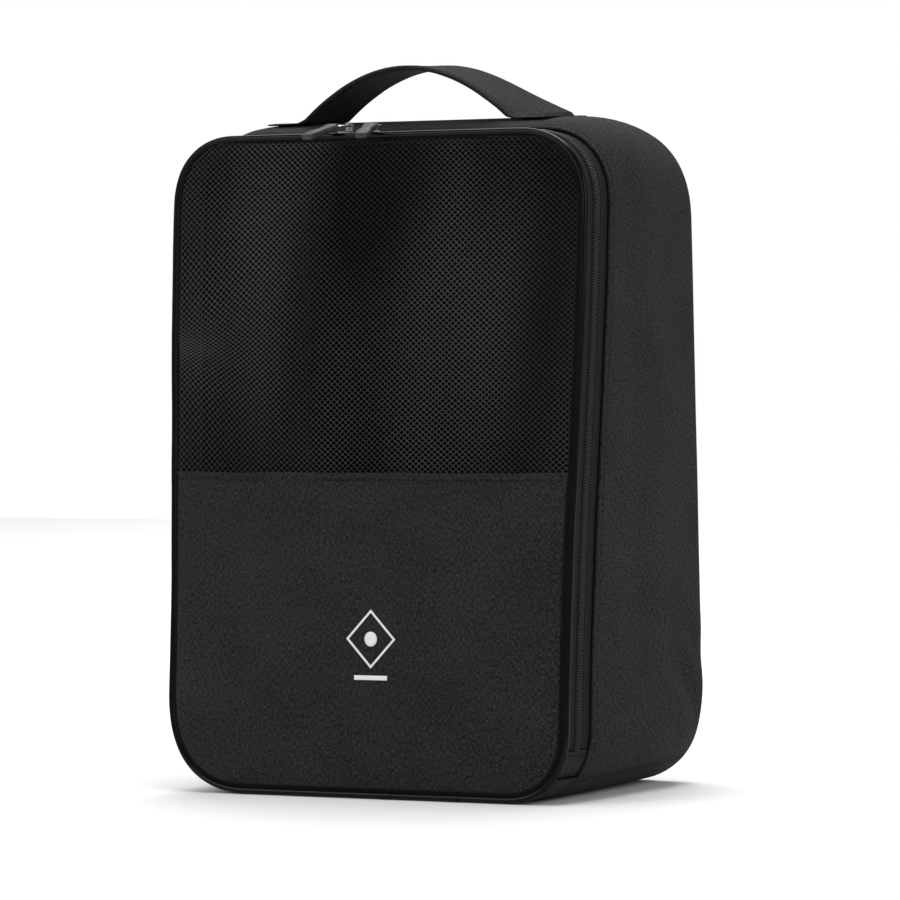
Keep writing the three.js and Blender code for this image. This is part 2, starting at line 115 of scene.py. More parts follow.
world = bpy.data.worlds.new("studio")
world.use_nodes = True
studio_air = world.node_tree
backdrop = studio_air.nodes["Background"]
backdrop.inputs["Color"].default_value = (1, 1, 1, 1)
backdrop.inputs["Strength"].default_value = 1.0
room_light = studio_air.nodes.new("ShaderNodeBackground")
room_light.inputs["Color"].default_value = (0.93, 0.96, 1.0, 1)
room_light.inputs["Strength"].default_value = 0.34
seen = studio_air.nodes.new("ShaderNodeLightPath")
choice = studio_air.nodes.new("ShaderNodeMixShader")
studio_air.links.new(seen.outputs["Is Camera Ray"], choice.inputs[0])
studio_air.links.new(room_light.outputs[0], choice.inputs[1])
studio_air.links.new(backdrop.outputs[0], choice.inputs[2])
studio_air.links.new(choice.outputs[0], studio_air.nodes["World Output"].inputs[0])
scene.world = world
scene.view_settings.view_transform = "Standard"

floor_mesh = bpy.data.meshes.new("sweep")
floor_mesh.from_pydata(
    [(-2.5, -2.5, 0), (2.5, -2.5, 0), (2.5, 2.2, 0), (-2.5, 2.2, 0)], [], [(0, 1, 2, 3)]
)
floor = bpy.data.objects.new("sweep", floor_mesh)
scene.collection.objects.link(floor)
paper = bpy.data.materials.new("paper")
paper.use_nodes = True
paper.node_tree.nodes["Principled BSDF"].inputs["Base Color"].default_value = (0.9, 0.9, 0.9, 1)
paper.node_tree.nodes["Principled BSDF"].inputs["Roughness"].default_value = 0.9
floor_mesh.materials.append(paper)


# ---------------------------------------------------------------------------------------------
# Gusset: the wide band of black oxford cloth that makes the sides, top and base. Its front edge
# is folded under and topstitched over the zip; the base piece is joined on at the lower corners.
# ---------------------------------------------------------------------------------------------

HALF_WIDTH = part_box("gusset_upper")[1].x
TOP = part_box("gusset_upper")[1].z
BACK_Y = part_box("gusset_upper")[1].y
FOLD_JOINT = next(j for j in frame["joints"] if j["name"] == "lid_fold")
SEAM_FOOT_Y = FOLD_JOINT["pos_m"][1]
LEAN = 30 / 350  # of the front face, back over its height
GUSSET_FRONT = 22 * MM  # folded edge behind the front seam
GUSSET_CLOTH = 1.6 * MM
CORNER_POWER = 2.3  # 2 is a round corner, more is squarer
FRONT_CORNERS = (40 * MM, 43 * MM, 38 * MM, 54 * MM)
BACK_CORNERS = (50 * MM,) * 4
TURNS = 9  # stretches of an outline: runs and corners in turn, from the middle of the base
TABLE_STEPS = 96


def outline(corners, half_width, top, swell):
    """Closed line of the bag seen from the front, anticlockwise from the middle of the base.

    Straight runs join four corners. A corner is its radius times the cosine and sine, each to
    the power 2 / CORNER_POWER. The sides then move out above half height and in below it, by
    swell times a sine of the height. The table holds points, outward directions and the run."""
    lower_right, upper_right, upper_left, lower_left = corners
    share = np.arange(TABLE_STEPS) / TABLE_STEPS
    turn = share * math.pi / 2
    quarter = np.stack([np.cos(turn), np.sin(turn)]) ** (2 / CORNER_POWER)
    rising, falling = quarter[1], quarter[0]

    def run(x0, z0, x1, z1):
        """A straight stretch between two points."""
        return np.stack([x0 + (x1 - x0) * share, z0 + (z1 - z0) * share], 1)

    def corner(side, level, radius, x_part, z_part):
        """A quarter of a circle from the end of one stretch to the start of the next."""
        x = side * (half_width - radius + radius * x_part)
        middle = radius if level < 0 else top - radius
        return np.stack([x, middle + level * radius * z_part], 1)

    side_right = (lower_right, top - upper_right)
    side_left = (top - upper_left, lower_left)
    points = np.concatenate([
        run(0, 0, half_width - lower_right, 0),
        corner(1, -1, lower_right, rising, falling),
        run(half_width, side_right[0], half_width, side_right[1]),
        corner(1, 1, upper_right, falling, rising),
        run(half_width - upper_right, top, upper_left - half_width, top),
        corner(-1, 1, upper_left, rising, falling),
        run(-half_width, side_left[0], -half_width, side_left[1]),
        corner(-1, -1, lower_left, falling, rising),
        run(lower_left - half_width, 0, 0, 0),
    ])
    height = points[:, 1]
    points[:, 0] *= 1 + swell / half_width * np.sin(math.pi * (height - 0.185) / 0.23)
    along = np.roll(points, -1, 0) - np.roll(points, 1, 0)
    along /= np.linalg.norm(along, axis=1)[:, None]
    steps = np.linalg.norm(np.roll(points, -1, 0) - points, axis=1)
    points = np.vstack([points, points[:1]])
    along = np.vstack([along, along[:1]])
    return {
        "turn": np.arange(TURNS * TABLE_STEPS + 1) / TABLE_STEPS,
        "x": points[:, 0],
        "z": points[:, 1],
        "out_x": along[:, 1],
        "out_z": -along[:, 0],
        "run": np.concatenate([[0], np.cumsum(steps)]),
    }


FRONT_LINE = outline(FRONT_CORNERS, HALF_WIDTH, TOP, 2.2 * MM)
BACK_LINE = outline(BACK_CORNERS, HALF_WIDTH - 2.6 * MM, TOP - 2.2 * MM, 0.0)


def read(line, turn, key):
    """A column of an outline's table at some turns, the turns counted round and round."""
    return np.interp(np.mod(turn, TURNS), line["turn"], line[key])


def evenly(line, start, end, step):
    """Turns from start to end, a step apart along the outline, the run unrolled past the base."""
    whole = line["run"][-1]
    first, last = (
        read(line, t, "run") + whole * math.floor(t / TURNS) for t in (start, end)
    )
    run = np.linspace(first, last, max(2, round((last - first) / step) + 1))
    turn = np.interp(np.mod(run, whole), line["run"], line["turn"])
    return turn, run


def seam_y(height):
    """Y of the front seam at a height: the face leans back in a straight line."""
    return SEAM_FOOT_Y + LEAN * height


def front_wall(turn, inset, depth):
    """Point in the wall near the front: the front line, moved in by inset and back by depth."""
    x = read(FRONT_LINE, turn, "x") - read(FRONT_LINE, turn, "out_x") * inset
    z = read(FRONT_LINE, turn, "z") - read(FRONT_LINE, turn, "out_z") * inset
    return np.stack(np.broadcast_arrays(x, seam_y(read(FRONT_LINE, turn, "z")) + depth, z), -1)


def full_wall(turn, inset, share, front, before_back):
    """Point in the wall at a share of the way back: front line times 1 - share plus back line
    times share, moved in by inset. The depth runs from front behind the front seam to
    before_back before the back seam."""
    near = {k: read(FRONT_LINE, turn, k) for k in ("x", "z", "out_x", "out_z")}
    far = {k: read(BACK_LINE, turn, k) for k in ("x", "z", "out_x", "out_z")}
    mixed = {k: near[k] * (1 - share) + far[k] * share for k in near}
    y = (seam_y(near["z"]) + front) * (1 - share) + (BACK_Y - before_back) * share
    x = mixed["x"] - mixed["out_x"] * inset
    z = mixed["z"] - mixed["out_z"] * inset
    return np.stack(np.broadcast_arrays(x, y, z), -1)


def ripple(a, b, seed, waves=5):
    """Soft unevenness between -1 and 1: a few sine waves of fixed random pitch and direction."""
    rng = np.random.default_rng(seed)
    total = 0
    for _ in range(waves):
        angle, phase, pitch = rng.uniform(0, 2 * math.pi, 3) * (1, 1, 0.3) + (0, 0, 0.6)
        total = total + np.sin(pitch * (a * math.cos(angle) + b * math.sin(angle)) * 3 + phase)
    return total / waves


def new_piece(name, vertices, faces, uv=None, sharp=50):
    """A mesh object from points and faces, smooth but for edges sharper than an angle.
    uv holds one pair for each corner of each face, in metres."""
    mesh = bpy.data.meshes.new(name)
    mesh.from_pydata(np.asarray(vertices, float).reshape(-1, 3).tolist(), [], faces)
    mesh.polygons.foreach_set("use_smooth", np.ones(len(mesh.polygons), bool))
    mesh.set_sharp_from_angle(angle=math.radians(sharp))
    if uv is not None:
        mesh.uv_layers.new(name="cloth").data.foreach_set("uv", np.asarray(uv, np.float32).ravel())
    piece = bpy.data.objects.new(name, mesh)
    scene.collection.objects.link(piece)
    return piece


def woven(name, grid, along=None, across=None, ring=False, tube=True, sharp=50):
    """A surface on a grid of points: rows follow the length, columns go across.

    A ring joins its last row to its first, a tube its last column to its first, and an open
    tube gets its ends capped. along and across give the cloth's own lengths in metres, one
    value more than there are faces, for the weave to follow."""
    rows, columns = grid.shape[:2]
    i = np.arange(rows if ring else rows - 1)[:, None]
    j = np.arange(columns if tube else columns - 1)[None, :]
    i, j = np.broadcast_arrays(i, j)
    i1, j1 = i + 1, j + 1
    number = lambda a, b: (a % rows) * columns + b % columns
    quads = np.stack([number(i, j), number(i1, j), number(i1, j1), number(i, j1)], -1)
    quads = quads.reshape(-1, 4)
    flat = grid.reshape(-1, 3)
    a, b, c, d = (flat[quads[:, k]] for k in range(4))
    volume = np.einsum("ij,ij->", np.cross(b - a, c - a), a - flat.mean(0))
    volume += np.einsum("ij,ij->", np.cross(c - a, d - a), a - flat.mean(0))
    turned = tube and volume < 0
    if along is None:
        along = np.linspace(0, 1, rows + 1)
    if across is None:
        across = np.linspace(0, 1, columns + 1)
    pad = lambda v, n: np.concatenate([v, [2 * v[-1] - v[-2]]]) if len(v) == n else v
    along, across = pad(np.asarray(along), rows), pad(np.asarray(across), columns)
    ui, vi = np.stack([i, i1, i1, i], -1).reshape(-1, 4), np.stack([j, j, j1, j1], -1).reshape(-1, 4)
    uv = np.stack([along[ui], across[vi]], -1)
    if turned:
        quads, uv = quads[:, ::-1], uv[:, ::-1]
    faces = quads.tolist()
    uv = uv.reshape(-1, 2)
    if tube and not ring:
        first, last = list(range(columns)), list(range((rows - 1) * columns, rows * columns))
        faces += [first[::-1], last] if turned else [first, last[::-1]]
        ends = np.tile(across[:columns], 2)
        uv = np.vstack([uv, np.stack([ends, ends * 0], 1)])
    return new_piece(name, flat, faces, uv, sharp)


def strip_section(outer, inner, front, back, faces):
    """Closed section of a strip of cloth: its outer face front to back, a half-round edge, its
    inner face back to front, a half-round edge. Returns insets, depths and lengths across."""
    half, middle = (inner - outer) / 2, (outer + inner) / 2
    turn = np.linspace(0, math.pi, 6)[1:-1]
    depth = front + half + (back - front - 2 * half) * np.asarray(faces)
    inset = np.concatenate([
        np.full(len(depth), outer), middle - half * np.cos(turn),
        np.full(len(depth), inner), middle + half * np.cos(turn),
    ])
    depth = np.concatenate([
        depth, back - half + half * np.sin(turn),
        depth[::-1], front + half - half * np.sin(turn),
    ])
    steps = np.hypot(np.diff(inset, append=inset[:1]), np.diff(depth, append=depth[:1]))
    return inset, depth, np.concatenate([[0], np.cumsum(steps)])


def add(tree, kind, **values):
    """A node with its settings; a value for a socket is given as its name or number."""
    node = tree.nodes.new(kind)
    for key, value in values.pop("sockets", {}).items():
        node.inputs[key].default_value = value
    for key, value in values.items():
        setattr(node, key, value)
    return node


def arithmetic(tree, operation, *sources, clamp=False):
    """A Math node on some sources, each a socket or a plain number."""
    node = add(tree, "ShaderNodeMath", operation=operation, use_clamp=clamp)
    for k, source in enumerate(sources):
        if isinstance(source, (int, float)):
            node.inputs[k].default_value = source
        else:
            tree.links.new(source, node.inputs[k])
    return node.outputs[0]


def group(name, inputs, outputs):
    """An empty shader group with named number or vector sockets, and its two end nodes."""
    tree = bpy.data.node_groups.new(name, "ShaderNodeTree")
    for word, value in inputs.items():
        kind = "NodeSocketVector" if value is None else "NodeSocketFloat"
        socket = tree.interface.new_socket(name=word, in_out="INPUT", socket_type=kind)
        if value is not None:
            socket.default_value = value
    for word in outputs:
        tree.interface.new_socket(name=word, in_out="OUTPUT", socket_type="NodeSocketFloat")
    return tree, tree.nodes.new("NodeGroupInput"), tree.nodes.new("NodeGroupOutput")


def streaks(tree, vector, across, along, detail=2.0):
    """Noise drawn out along one thread direction: across and along are its pitches, per metre."""
    mapping = add(tree, "ShaderNodeMapping", sockets={"Scale": (across, along, 1.0)})
    tree.links.new(vector, mapping.inputs["Vector"])
    noise = add(tree, "ShaderNodeTexNoise", sockets={"Scale": 1.0, "Detail": detail})
    tree.links.new(mapping.outputs[0], noise.inputs["Vector"])
    return noise.outputs["Fac"]


# Plain weave: a bump for each crossing, warp and weft crossings of slightly different tone,
# thick and thin threads both ways, and the broad clouding of a dyed cloth.
weave, weave_in, weave_out = group(
    "plain_weave", {"Vector": None, "Thread": 0.0005, "Unevenness": 0.6}, ("Height", "Tone")
)
split = add(weave, "ShaderNodeSeparateXYZ")
weave.links.new(weave_in.outputs["Vector"], split.inputs[0])
per_thread = arithmetic(weave, "DIVIDE", math.pi, weave_in.outputs["Thread"])
across_wave = arithmetic(weave, "SINE", arithmetic(weave, "MULTIPLY", split.outputs[0], per_thread))
along_wave = arithmetic(weave, "SINE", arithmetic(weave, "MULTIPLY", split.outputs[1], per_thread))
crossing = arithmetic(weave, "MULTIPLY", across_wave, along_wave)
bump_height = arithmetic(weave, "POWER", arithmetic(weave, "ABSOLUTE", crossing), 0.6)
upper_thread = arithmetic(weave, "GREATER_THAN", crossing, 0.0)
weft_slub = streaks(weave, weave_in.outputs["Vector"], 560, 1900)
warp_slub = streaks(weave, weave_in.outputs["Vector"], 1700, 480)
clouding = streaks(weave, weave_in.outputs["Vector"], 22, 30)
slub = arithmetic(weave, "ADD", weft_slub, warp_slub)
centred_slub = arithmetic(weave, "SUBTRACT", slub, 1.0)
uneven = arithmetic(weave, "MULTIPLY", centred_slub, weave_in.outputs["Unevenness"])
weave.links.new(
    arithmetic(weave, "MULTIPLY_ADD", bump_height, 0.35, arithmetic(weave, "MULTIPLY", uneven, 4.0)),
    weave_out.inputs["Height"],
)
cell_tone = arithmetic(weave, "MULTIPLY_ADD", upper_thread, 0.10, 0.3)
# The crests of the crossings are painted lighter: a painted highlight.
crest_highlight_tone = arithmetic(weave, "MULTIPLY_ADD", bump_height, 0.10, cell_tone)
cloud_tone = arithmetic(
    weave, "MULTIPLY_ADD", arithmetic(weave, "SUBTRACT", clouding, 0.5), 0.14, crest_highlight_tone
)
weave.links.new(
    arithmetic(weave, "MULTIPLY_ADD", uneven, 1.9, cloud_tone, clamp=True), weave_out.inputs["Tone"]
)


def shader_of(name, roughness, **constants):
    """A new material, its tree and its Principled shader, with plain values on the sockets."""
    material = bpy.data.materials.new(name)
    material.use_nodes = True
    tree = material.node_tree
    shader = tree.nodes["Principled BSDF"]
    shader.inputs["Roughness"].default_value = roughness
    for key, value in constants.items():
        shader.inputs[key.replace("_", " ").title().replace("Ior", "IOR")].default_value = value
    return material, tree, shader


def finish_with(tree, shader, tone, dark, light, height=None, distance=0.0002, strength=1.0):
    """Runs the base colour from dark to light by the tone, and bumps the surface by the height."""
    colour = add(tree, "ShaderNodeMix", data_type="RGBA")
    colour.inputs[6].default_value = (*dark, 1.0)
    colour.inputs[7].default_value = (*light, 1.0)
    tree.links.new(tone, colour.inputs[0])
    tree.links.new(colour.outputs[2], shader.inputs["Base Color"])
    if height is not None:
        bump = add(tree, "ShaderNodeBump", sockets={"Strength": strength, "Distance": distance})
        tree.links.new(height, bump.inputs["Height"])
        tree.links.new(bump.outputs[0], shader.inputs["Normal"])


def cloth_material(name, dark, light, thread, bump, roughness=0.85, sheen=0.03, unevenness=0.6):
    """Cloth in plain weave on the piece's own lengths."""
    material, tree, shader = shader_of(
        name, roughness, sheen_weight=sheen, sheen_roughness=0.5, specular_ior_level=0.15
    )
    lengths = add(tree, "ShaderNodeUVMap", uv_map="cloth")
    threads = add(tree, "ShaderNodeGroup", node_tree=weave)
    tree.links.new(lengths.outputs[0], threads.inputs["Vector"])
    threads.inputs["Thread"].default_value = thread
    threads.inputs["Unevenness"].default_value = unevenness
    crisp = add(tree, "ShaderNodeMapRange", sockets={"From Min": 0.27, "From Max": 0.57})
    tree.links.new(threads.outputs["Tone"], crisp.inputs["Value"])
    finish_with(tree, shader, crisp.outputs[0], dark, light, threads.outputs["Height"], bump)
    return material


def grey(value, warm=0.0):
    """A near-neutral colour."""
    return (value * (1 + warm), value, value * (1 - warm))


OXFORD = cloth_material(
    "black_oxford", grey(0.001), grey(0.033), 0.72 * MM, 0.22 * MM, sheen=0.015, unevenness=0.45
)


def dress(piece, material, body, slot, *nodes):
    """Gives a piece its material and the body it rides on, and hides the nodes it stands for. slot is
    not used.
    """
    piece.data.materials.append(material)
    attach(piece, body)
    if nodes:
        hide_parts(*nodes)
    return piece


def topstitch_dent(depth, line=3.2 * MM):
    """How far a row of stitches pulls the cloth in: a narrow bell curve at its line."""
    return 0.28 * MM * np.exp(-(((depth - line) / (0.9 * MM)) ** 2))


GUSSET_FACES = np.concatenate([np.linspace(0, 0.065, 10), np.linspace(0.09, 0.95, 26), [0.97, 0.985, 1]])


def gusset_swell(turn, share):
    """How far the gusset stands out: a half sine from front to back, most on the upright sides
    and more at the upper left, with soft ripples and a few slack folds low down at the back."""
    side = np.abs(read(FRONT_LINE, turn, "out_x"))
    height = read(FRONT_LINE, turn, "z")
    left = read(FRONT_LINE, turn, "out_x") < 0
    full = np.sin(math.pi * np.clip(share, 0, 1))
    run = read(FRONT_LINE, turn, "run")
    belly = 1.6 * MM * side * full
    over_top = np.clip(read(FRONT_LINE, turn, "out_z"), 0, 1)
    belly = belly + 6.4 * MM * over_top * np.clip(share * 9, 0, 1) ** 0.7 * full**0.6
    shoulder = 1.6 * MM * left * side * np.exp(-(((height - 0.30) / 0.05) ** 2)) * full**0.5
    soft = (0.25 + 0.3 * side) * MM * ripple(run * 16, share * 2.2, 7) * full**0.5 * (0.15 + side)
    slack = np.exp(-(((height - 0.045) / 0.03) ** 2)) * np.exp(-(((share - 0.86) / 0.13) ** 2))
    fold = 1.3 * MM * side * slack * np.sin((height - 0.9 * (1 - share) * 0.12) / 0.0055)
    return belly + shoulder + soft + fold


NOMINAL_REACH = 100 * MM  # the gusset's section is drawn for this depth and stretched to fit


def gusset_piece(name, start, end):
    """A stretch of the gusset: a strip section whose outer and inner faces share one swell, its
    back edge turned in to the seam and its front edge folded, a little wavy, with a dent at the
    row of stitches."""
    turn, run = evenly(FRONT_LINE, start, end, 3.2 * MM)
    inset, nominal, across = strip_section(0.0, GUSSET_CLOTH, 0.0, NOMINAL_REACH, GUSSET_FACES)
    turn, inset, share = turn[:, None], inset[None, :], nominal[None, :] / NOMINAL_REACH
    reach = BACK_Y - seam_y(read(FRONT_LINE, turn, "z")) - GUSSET_FRONT
    depth = share * reach
    turned_in = np.clip((depth - reach + 5 * MM) / (5 * MM), 0, 1) ** 2 * 1.7 * MM
    inset = inset - gusset_swell(turn, share) + turned_in + topstitch_dent(depth)
    grid = full_wall(turn, inset, share, GUSSET_FRONT, 0.0)
    grid[:, :, 1] += 0.35 * MM * ripple(run * 22, 0 * run, 3)[:, None] * np.exp(-depth / (6 * MM))
    grid[:, :, 2] = np.maximum(grid[:, :, 2], 0.0)
    return woven(name, grid, run, across)


BASE_SEAM = 0.5  # of the way round a lower corner
CUT_GAP = 0.004
sides_and_top = dress(
    gusset_piece("gusset_sides_and_top", 1 + BASE_SEAM + CUT_GAP, 8 - BASE_SEAM - CUT_GAP),
    OXFORD, "shell", "oxford_cloth", "gusset_upper",
)
base_cloth = dress(
    gusset_piece("gusset_base_cloth", -1 - BASE_SEAM + CUT_GAP, 1 + BASE_SEAM - CUT_GAP),
    OXFORD, "shell", "oxford_cloth", "gusset_base",
)


# ---------------------------------------------------------------------------------------------
# Lining and boards: a thin dark lining inside the gusset and the back, a bound seam where they
# meet, and two plastic sheets that hold the back and the base flat.
# ---------------------------------------------------------------------------------------------

LINING_TOP = 3.0 * MM
LINING_UNDER = 4.0 * MM
LINING = cloth_material("black_lining", grey(0.001), grey(0.006), 0.4 * MM, 0.05 * MM, 0.7, 0.02)
TAPE_EDGE = cloth_material("black_binding_tape", grey(0.002), grey(0.010), 0.45 * MM, 0.14 * MM)


def shell_ring(name, section, front, before_back, seed):
    """A closed ring of cloth in the shell: a strip section between two depths, with ripples."""
    inset, nominal, across = section
    turn, run = evenly(FRONT_LINE, 0, TURNS, 5 * MM)
    turn, run = turn[:-1, None], run
    share = nominal[None, :] / NOMINAL_REACH
    soft = 0.25 * MM * ripple(run[:-1, None] * 14, share * 2, seed)
    grid = full_wall(turn, inset[None, :] + soft, share, front, before_back)
    return woven(name, grid, run, across, ring=True)


inner_lining = dress(
    shell_ring(
        "gusset_inner_lining",
        strip_section(LINING_TOP, LINING_UNDER, 0.0, NOMINAL_REACH, np.linspace(0, 1, 24)),
        GUSSET_FRONT + 0.4 * MM, 4.0 * MM, 11,
    ),
    LINING, "shell", "lining_cloth", "gusset_lining",
)

turn, run = evenly(BACK_LINE, 0, TURNS, 5 * MM)
round_edge = np.linspace(0, 2 * math.pi, 9)[:-1]
binding = full_wall(
    turn[:-1, None], 5.7 * MM + 1.4 * MM * np.cos(round_edge)[None, :], 1.0, 0.0,
    5.3 * MM + 1.4 * MM * np.sin(round_edge)[None, :],
)
dress(
    woven("back_seam_tape", binding, run, np.linspace(0, 9 * MM, 9), ring=True),
    TAPE_EDGE, "shell", "lining_cloth", "back_seam_binding",
)

STIFFENER, board_tree, board_shader = shader_of("grey_stiffener_sheet", 0.45)
board_place = add(board_tree, "ShaderNodeTexCoord")
board_grain = add(board_tree, "ShaderNodeTexNoise", sockets={"Scale": 900.0, "Detail": 4.0})
board_tree.links.new(board_place.outputs["Object"], board_grain.inputs["Vector"])
finish_with(
    board_tree, board_shader, board_grain.outputs["Fac"], grey(0.10), grey(0.16),
    board_grain.outputs["Fac"], 0.05 * MM,
)
for node in ("back_stiffener", "base_board"):
    board_mesh = frame["nodes"][node].data
    board_mesh.materials.clear()
    board_mesh.materials.append(STIFFENER)


# ---------------------------------------------------------------------------------------------
# Back panel: one crowned piece of the same oxford, sewn to the gusset all round, with its own
# lining on the inner side of the plastic sheet.
# ---------------------------------------------------------------------------------------------

BACK_CROWN = 5.6 * MM
PANEL_CLOTH = 1.2 * MM


def dome(x, z):
    """Share of the crown at a point: one at the middle, falling as squares to the edges."""
    return (1 - (x / HALF_WIDTH) ** 2) * (1 - (2 * z / TOP - 1) ** 2)


def side_limits(line, inset, height):
    """Left and right ends of a level row inside an outline moved in by an inset."""
    ends = []
    for first, last in ((8, 5), (1, 4)):
        turn = np.linspace(first, last, 500)
        x = read(line, turn, "x") - read(line, turn, "out_x") * inset
        z = read(line, turn, "z") - read(line, turn, "out_z") * inset
        z = np.maximum.accumulate(z)
        ends.append(np.interp(height, z, x))
    return ends


def panel_rows(line, inset, heights, columns, right_margin=0.0):
    """Level rows of points across a panel, with each point's distance from its side edge."""
    left, right = side_limits(line, inset, heights)
    right = right - right_margin
    share = (1 - np.cos(np.linspace(0, math.pi, columns))) / 2
    share = 0.35 * share + 0.65 * np.linspace(0, 1, columns)
    x = left[:, None] + (right - left)[:, None] * share[None, :]
    z = np.broadcast_to(heights[:, None], x.shape)
    edge = np.minimum(np.minimum(x - left[:, None], right[:, None] - x), z - inset)
    return x, z, np.minimum(edge, TOP - inset - z)


def ends_close(low, high, count, low_power=1.0, high_power=1.0):
    """Heights from low to high, closer together where a power above one is given."""
    share = np.linspace(0, 1, count)
    if low_power > 1 and high_power > 1:
        share = (1 - np.cos(math.pi * share)) / 2
    elif low_power > 1:
        share = share**low_power
    elif high_power > 1:
        share = 1 - (1 - share) ** high_power
    return low + (high - low) * share


def thicken(piece, thickness, offset=-1.0):
    """Gives an open sheet its thickness, closed round the rim."""
    solid = piece.modifiers.new("thickness", "SOLIDIFY")
    solid.thickness = thickness
    solid.offset = offset
    return piece


def panel_sheet(name, x, y, z, thickness, facing_front):
    """A sheet on a grid of points, faced to the front or the back, its weave on X and Z."""
    grid = np.stack(np.broadcast_arrays(x, y, z), -1)
    if facing_front:
        grid = grid[::-1]
    rows, columns = grid.shape[:2]
    piece = woven(name, grid, tube=False)
    number = np.empty(len(piece.data.loops), np.int32)
    piece.data.loops.foreach_get("vertex_index", number)
    piece.data.uv_layers[0].data.foreach_set(
        "uv", grid.reshape(-1, 3)[number][:, [0, 2]].astype(np.float32).ravel()
    )
    return thicken(piece, thickness)


heights = ends_close(1.9 * MM, TOP - 4.1 * MM, 90, 2, 2)
x, z, edge = panel_rows(BACK_LINE, 1.9 * MM, heights, 80)
swell = 0.5 * MM * ripple(x * 26, z * 22, 21) * (1 - np.exp(-edge / (25 * MM)))
y = BACK_Y - 1.6 * MM * np.exp(-edge / (3 * MM)) + BACK_CROWN * dome(x, z) + swell
back_cloth = dress(
    panel_sheet("back_cloth_panel", x, y, z, PANEL_CLOTH, False),
    OXFORD, "shell", "oxford_cloth", "back_panel",
)
heights = ends_close(5.2 * MM, TOP - 7.2 * MM, 60, 2, 2)
x, z, edge = panel_rows(BACK_LINE, 5.0 * MM, heights, 60)
y = BACK_Y - 3.6 * MM + BACK_CROWN * dome(x, z) + 0.15 * MM * ripple(x * 30, z * 30, 22)
back_lining = dress(
    panel_sheet("back_inner_lining", x, y + 0.8 * MM, z, 0.7 * MM, False),
    LINING, "shell", "lining_cloth", "back_lining",
)


# ---------------------------------------------------------------------------------------------
# Zip tapes, end tabs and hinge strip: woven tapes that carry the two rows of the coil. A tab of
# oxford closes each end of the zip, and a strip between the tabs lets the front fold down.
# ---------------------------------------------------------------------------------------------

TAPE_TOP = 1.9 * MM
TAPE_OUTER, TAPE_INNER = 2.3 * MM, 2.9 * MM  # below the front line
GUSSET_TAPE = (11.9 * MM, 30 * MM)  # from the coil's middle to under the gusset
LID_TAPE = (2.0 * MM, 11.75 * MM)  # from the piping to the coil's middle
END_CLOTH_DEPTH = (2.4 * MM, 23 * MM)
ZIP_START = 2 - 15 / 90
ZIP_END = 7 + 15 / 90
TAB_START = 2 - 40 / 90

# Herringbone: slanting ribs that change direction at each width of the tape's pattern.
herringbone, rib_in, rib_out = group(
    "herringbone", {"Vector": None, "Rib": 0.0009, "Column": 0.0022}, ("Height", "Tone")
)
split = add(herringbone, "ShaderNodeSeparateXYZ")
herringbone.links.new(rib_in.outputs["Vector"], split.inputs[0])
zigzag = arithmetic(herringbone, "PINGPONG", split.outputs[1], rib_in.outputs["Column"])
slanted = arithmetic(herringbone, "ADD", split.outputs[0], zigzag)
ribs_along = arithmetic(herringbone, "DIVIDE", slanted, rib_in.outputs["Rib"])
turns_of_rib = arithmetic(herringbone, "MULTIPLY", ribs_along, 2 * math.pi)
rib = arithmetic(herringbone, "MULTIPLY_ADD", arithmetic(herringbone, "SINE", turns_of_rib), 0.5, 0.5)
fuzz = streaks(herringbone, rib_in.outputs["Vector"], 1500, 1500)
herringbone.links.new(arithmetic(herringbone, "MULTIPLY_ADD", fuzz, 0.5, rib), rib_out.inputs["Height"])
herringbone.links.new(
    arithmetic(herringbone, "MULTIPLY_ADD", fuzz, 0.7, arithmetic(herringbone, "MULTIPLY", rib, 0.55)),
    rib_out.inputs["Tone"],
)
ZIP_TAPE, tape_tree, tape_shader = shader_of(
    "black_zip_tape", 0.8, sheen_weight=0.01, specular_ior_level=0.1
)
tape_lengths = add(tape_tree, "ShaderNodeUVMap", uv_map="cloth")
tape_ribs = add(tape_tree, "ShaderNodeGroup", node_tree=herringbone)
tape_tree.links.new(tape_lengths.outputs[0], tape_ribs.inputs["Vector"])
finish_with(
    tape_tree, tape_shader, tape_ribs.outputs["Tone"], grey(0.001), grey(0.022),
    tape_ribs.outputs["Height"], 0.15 * MM,
)


def front_band(name, section, start, end, step=3 * MM, wave=0.0, seed=5):
    """A strip section carried along the front line between two turns, its ends capped."""
    inset, depth, across = section
    turn, run = evenly(FRONT_LINE, start, end, step)
    shift = wave * ripple(run * 18, 0 * run, seed)[:, None]
    grid = front_wall(turn[:, None], inset[None, :] + 0.5 * shift, depth[None, :] + shift)
    return woven(name, grid, run, across)


plain_faces = np.linspace(0, 1, 8)
gusset_tape = dress(
    front_band(
        "zip_tape_on_gusset", strip_section(TAPE_OUTER, TAPE_INNER, *GUSSET_TAPE, plain_faces),
        ZIP_START, ZIP_END,
    ),
    ZIP_TAPE, "shell", "coil", "zipper_tape_shell",
)
lid_tape = dress(
    front_band(
        "zip_tape_on_lid", strip_section(TAPE_OUTER, TAPE_INNER, *LID_TAPE, plain_faces),
        ZIP_START, ZIP_END,
    ),
    ZIP_TAPE, "lid", "coil", "zipper_tape_lid",
)
for word, start, end, flat in (
    ("right", TAB_START, ZIP_START - 0.01, (0.022, 0.018)),
    ("left", TURNS - ZIP_START + 0.01, TURNS - TAB_START, (0.022, 0.023)),
):
    end_cloth = dress(
        front_band(
            f"zip_end_cloth_{word}",
            strip_section(TAPE_TOP, TAPE_INNER, *END_CLOTH_DEPTH, plain_faces), start, end,
            1.5 * MM, 0.2 * MM,
        ),
        OXFORD, "shell", "oxford_cloth", f"zip_end_tab_{word}",
    )
hinge_cloth = dress(
    front_band(
        "hinge_cloth", strip_section(0.4 * MM, 1.5 * MM, 2.4 * MM, 21.9 * MM, plain_faces),
        -TAB_START + 0.01, TAB_START - 0.01, 3 * MM, 0.15 * MM, 6,
    ),
    OXFORD, "shell", "oxford_cloth", "lid_hinge_strip",
)


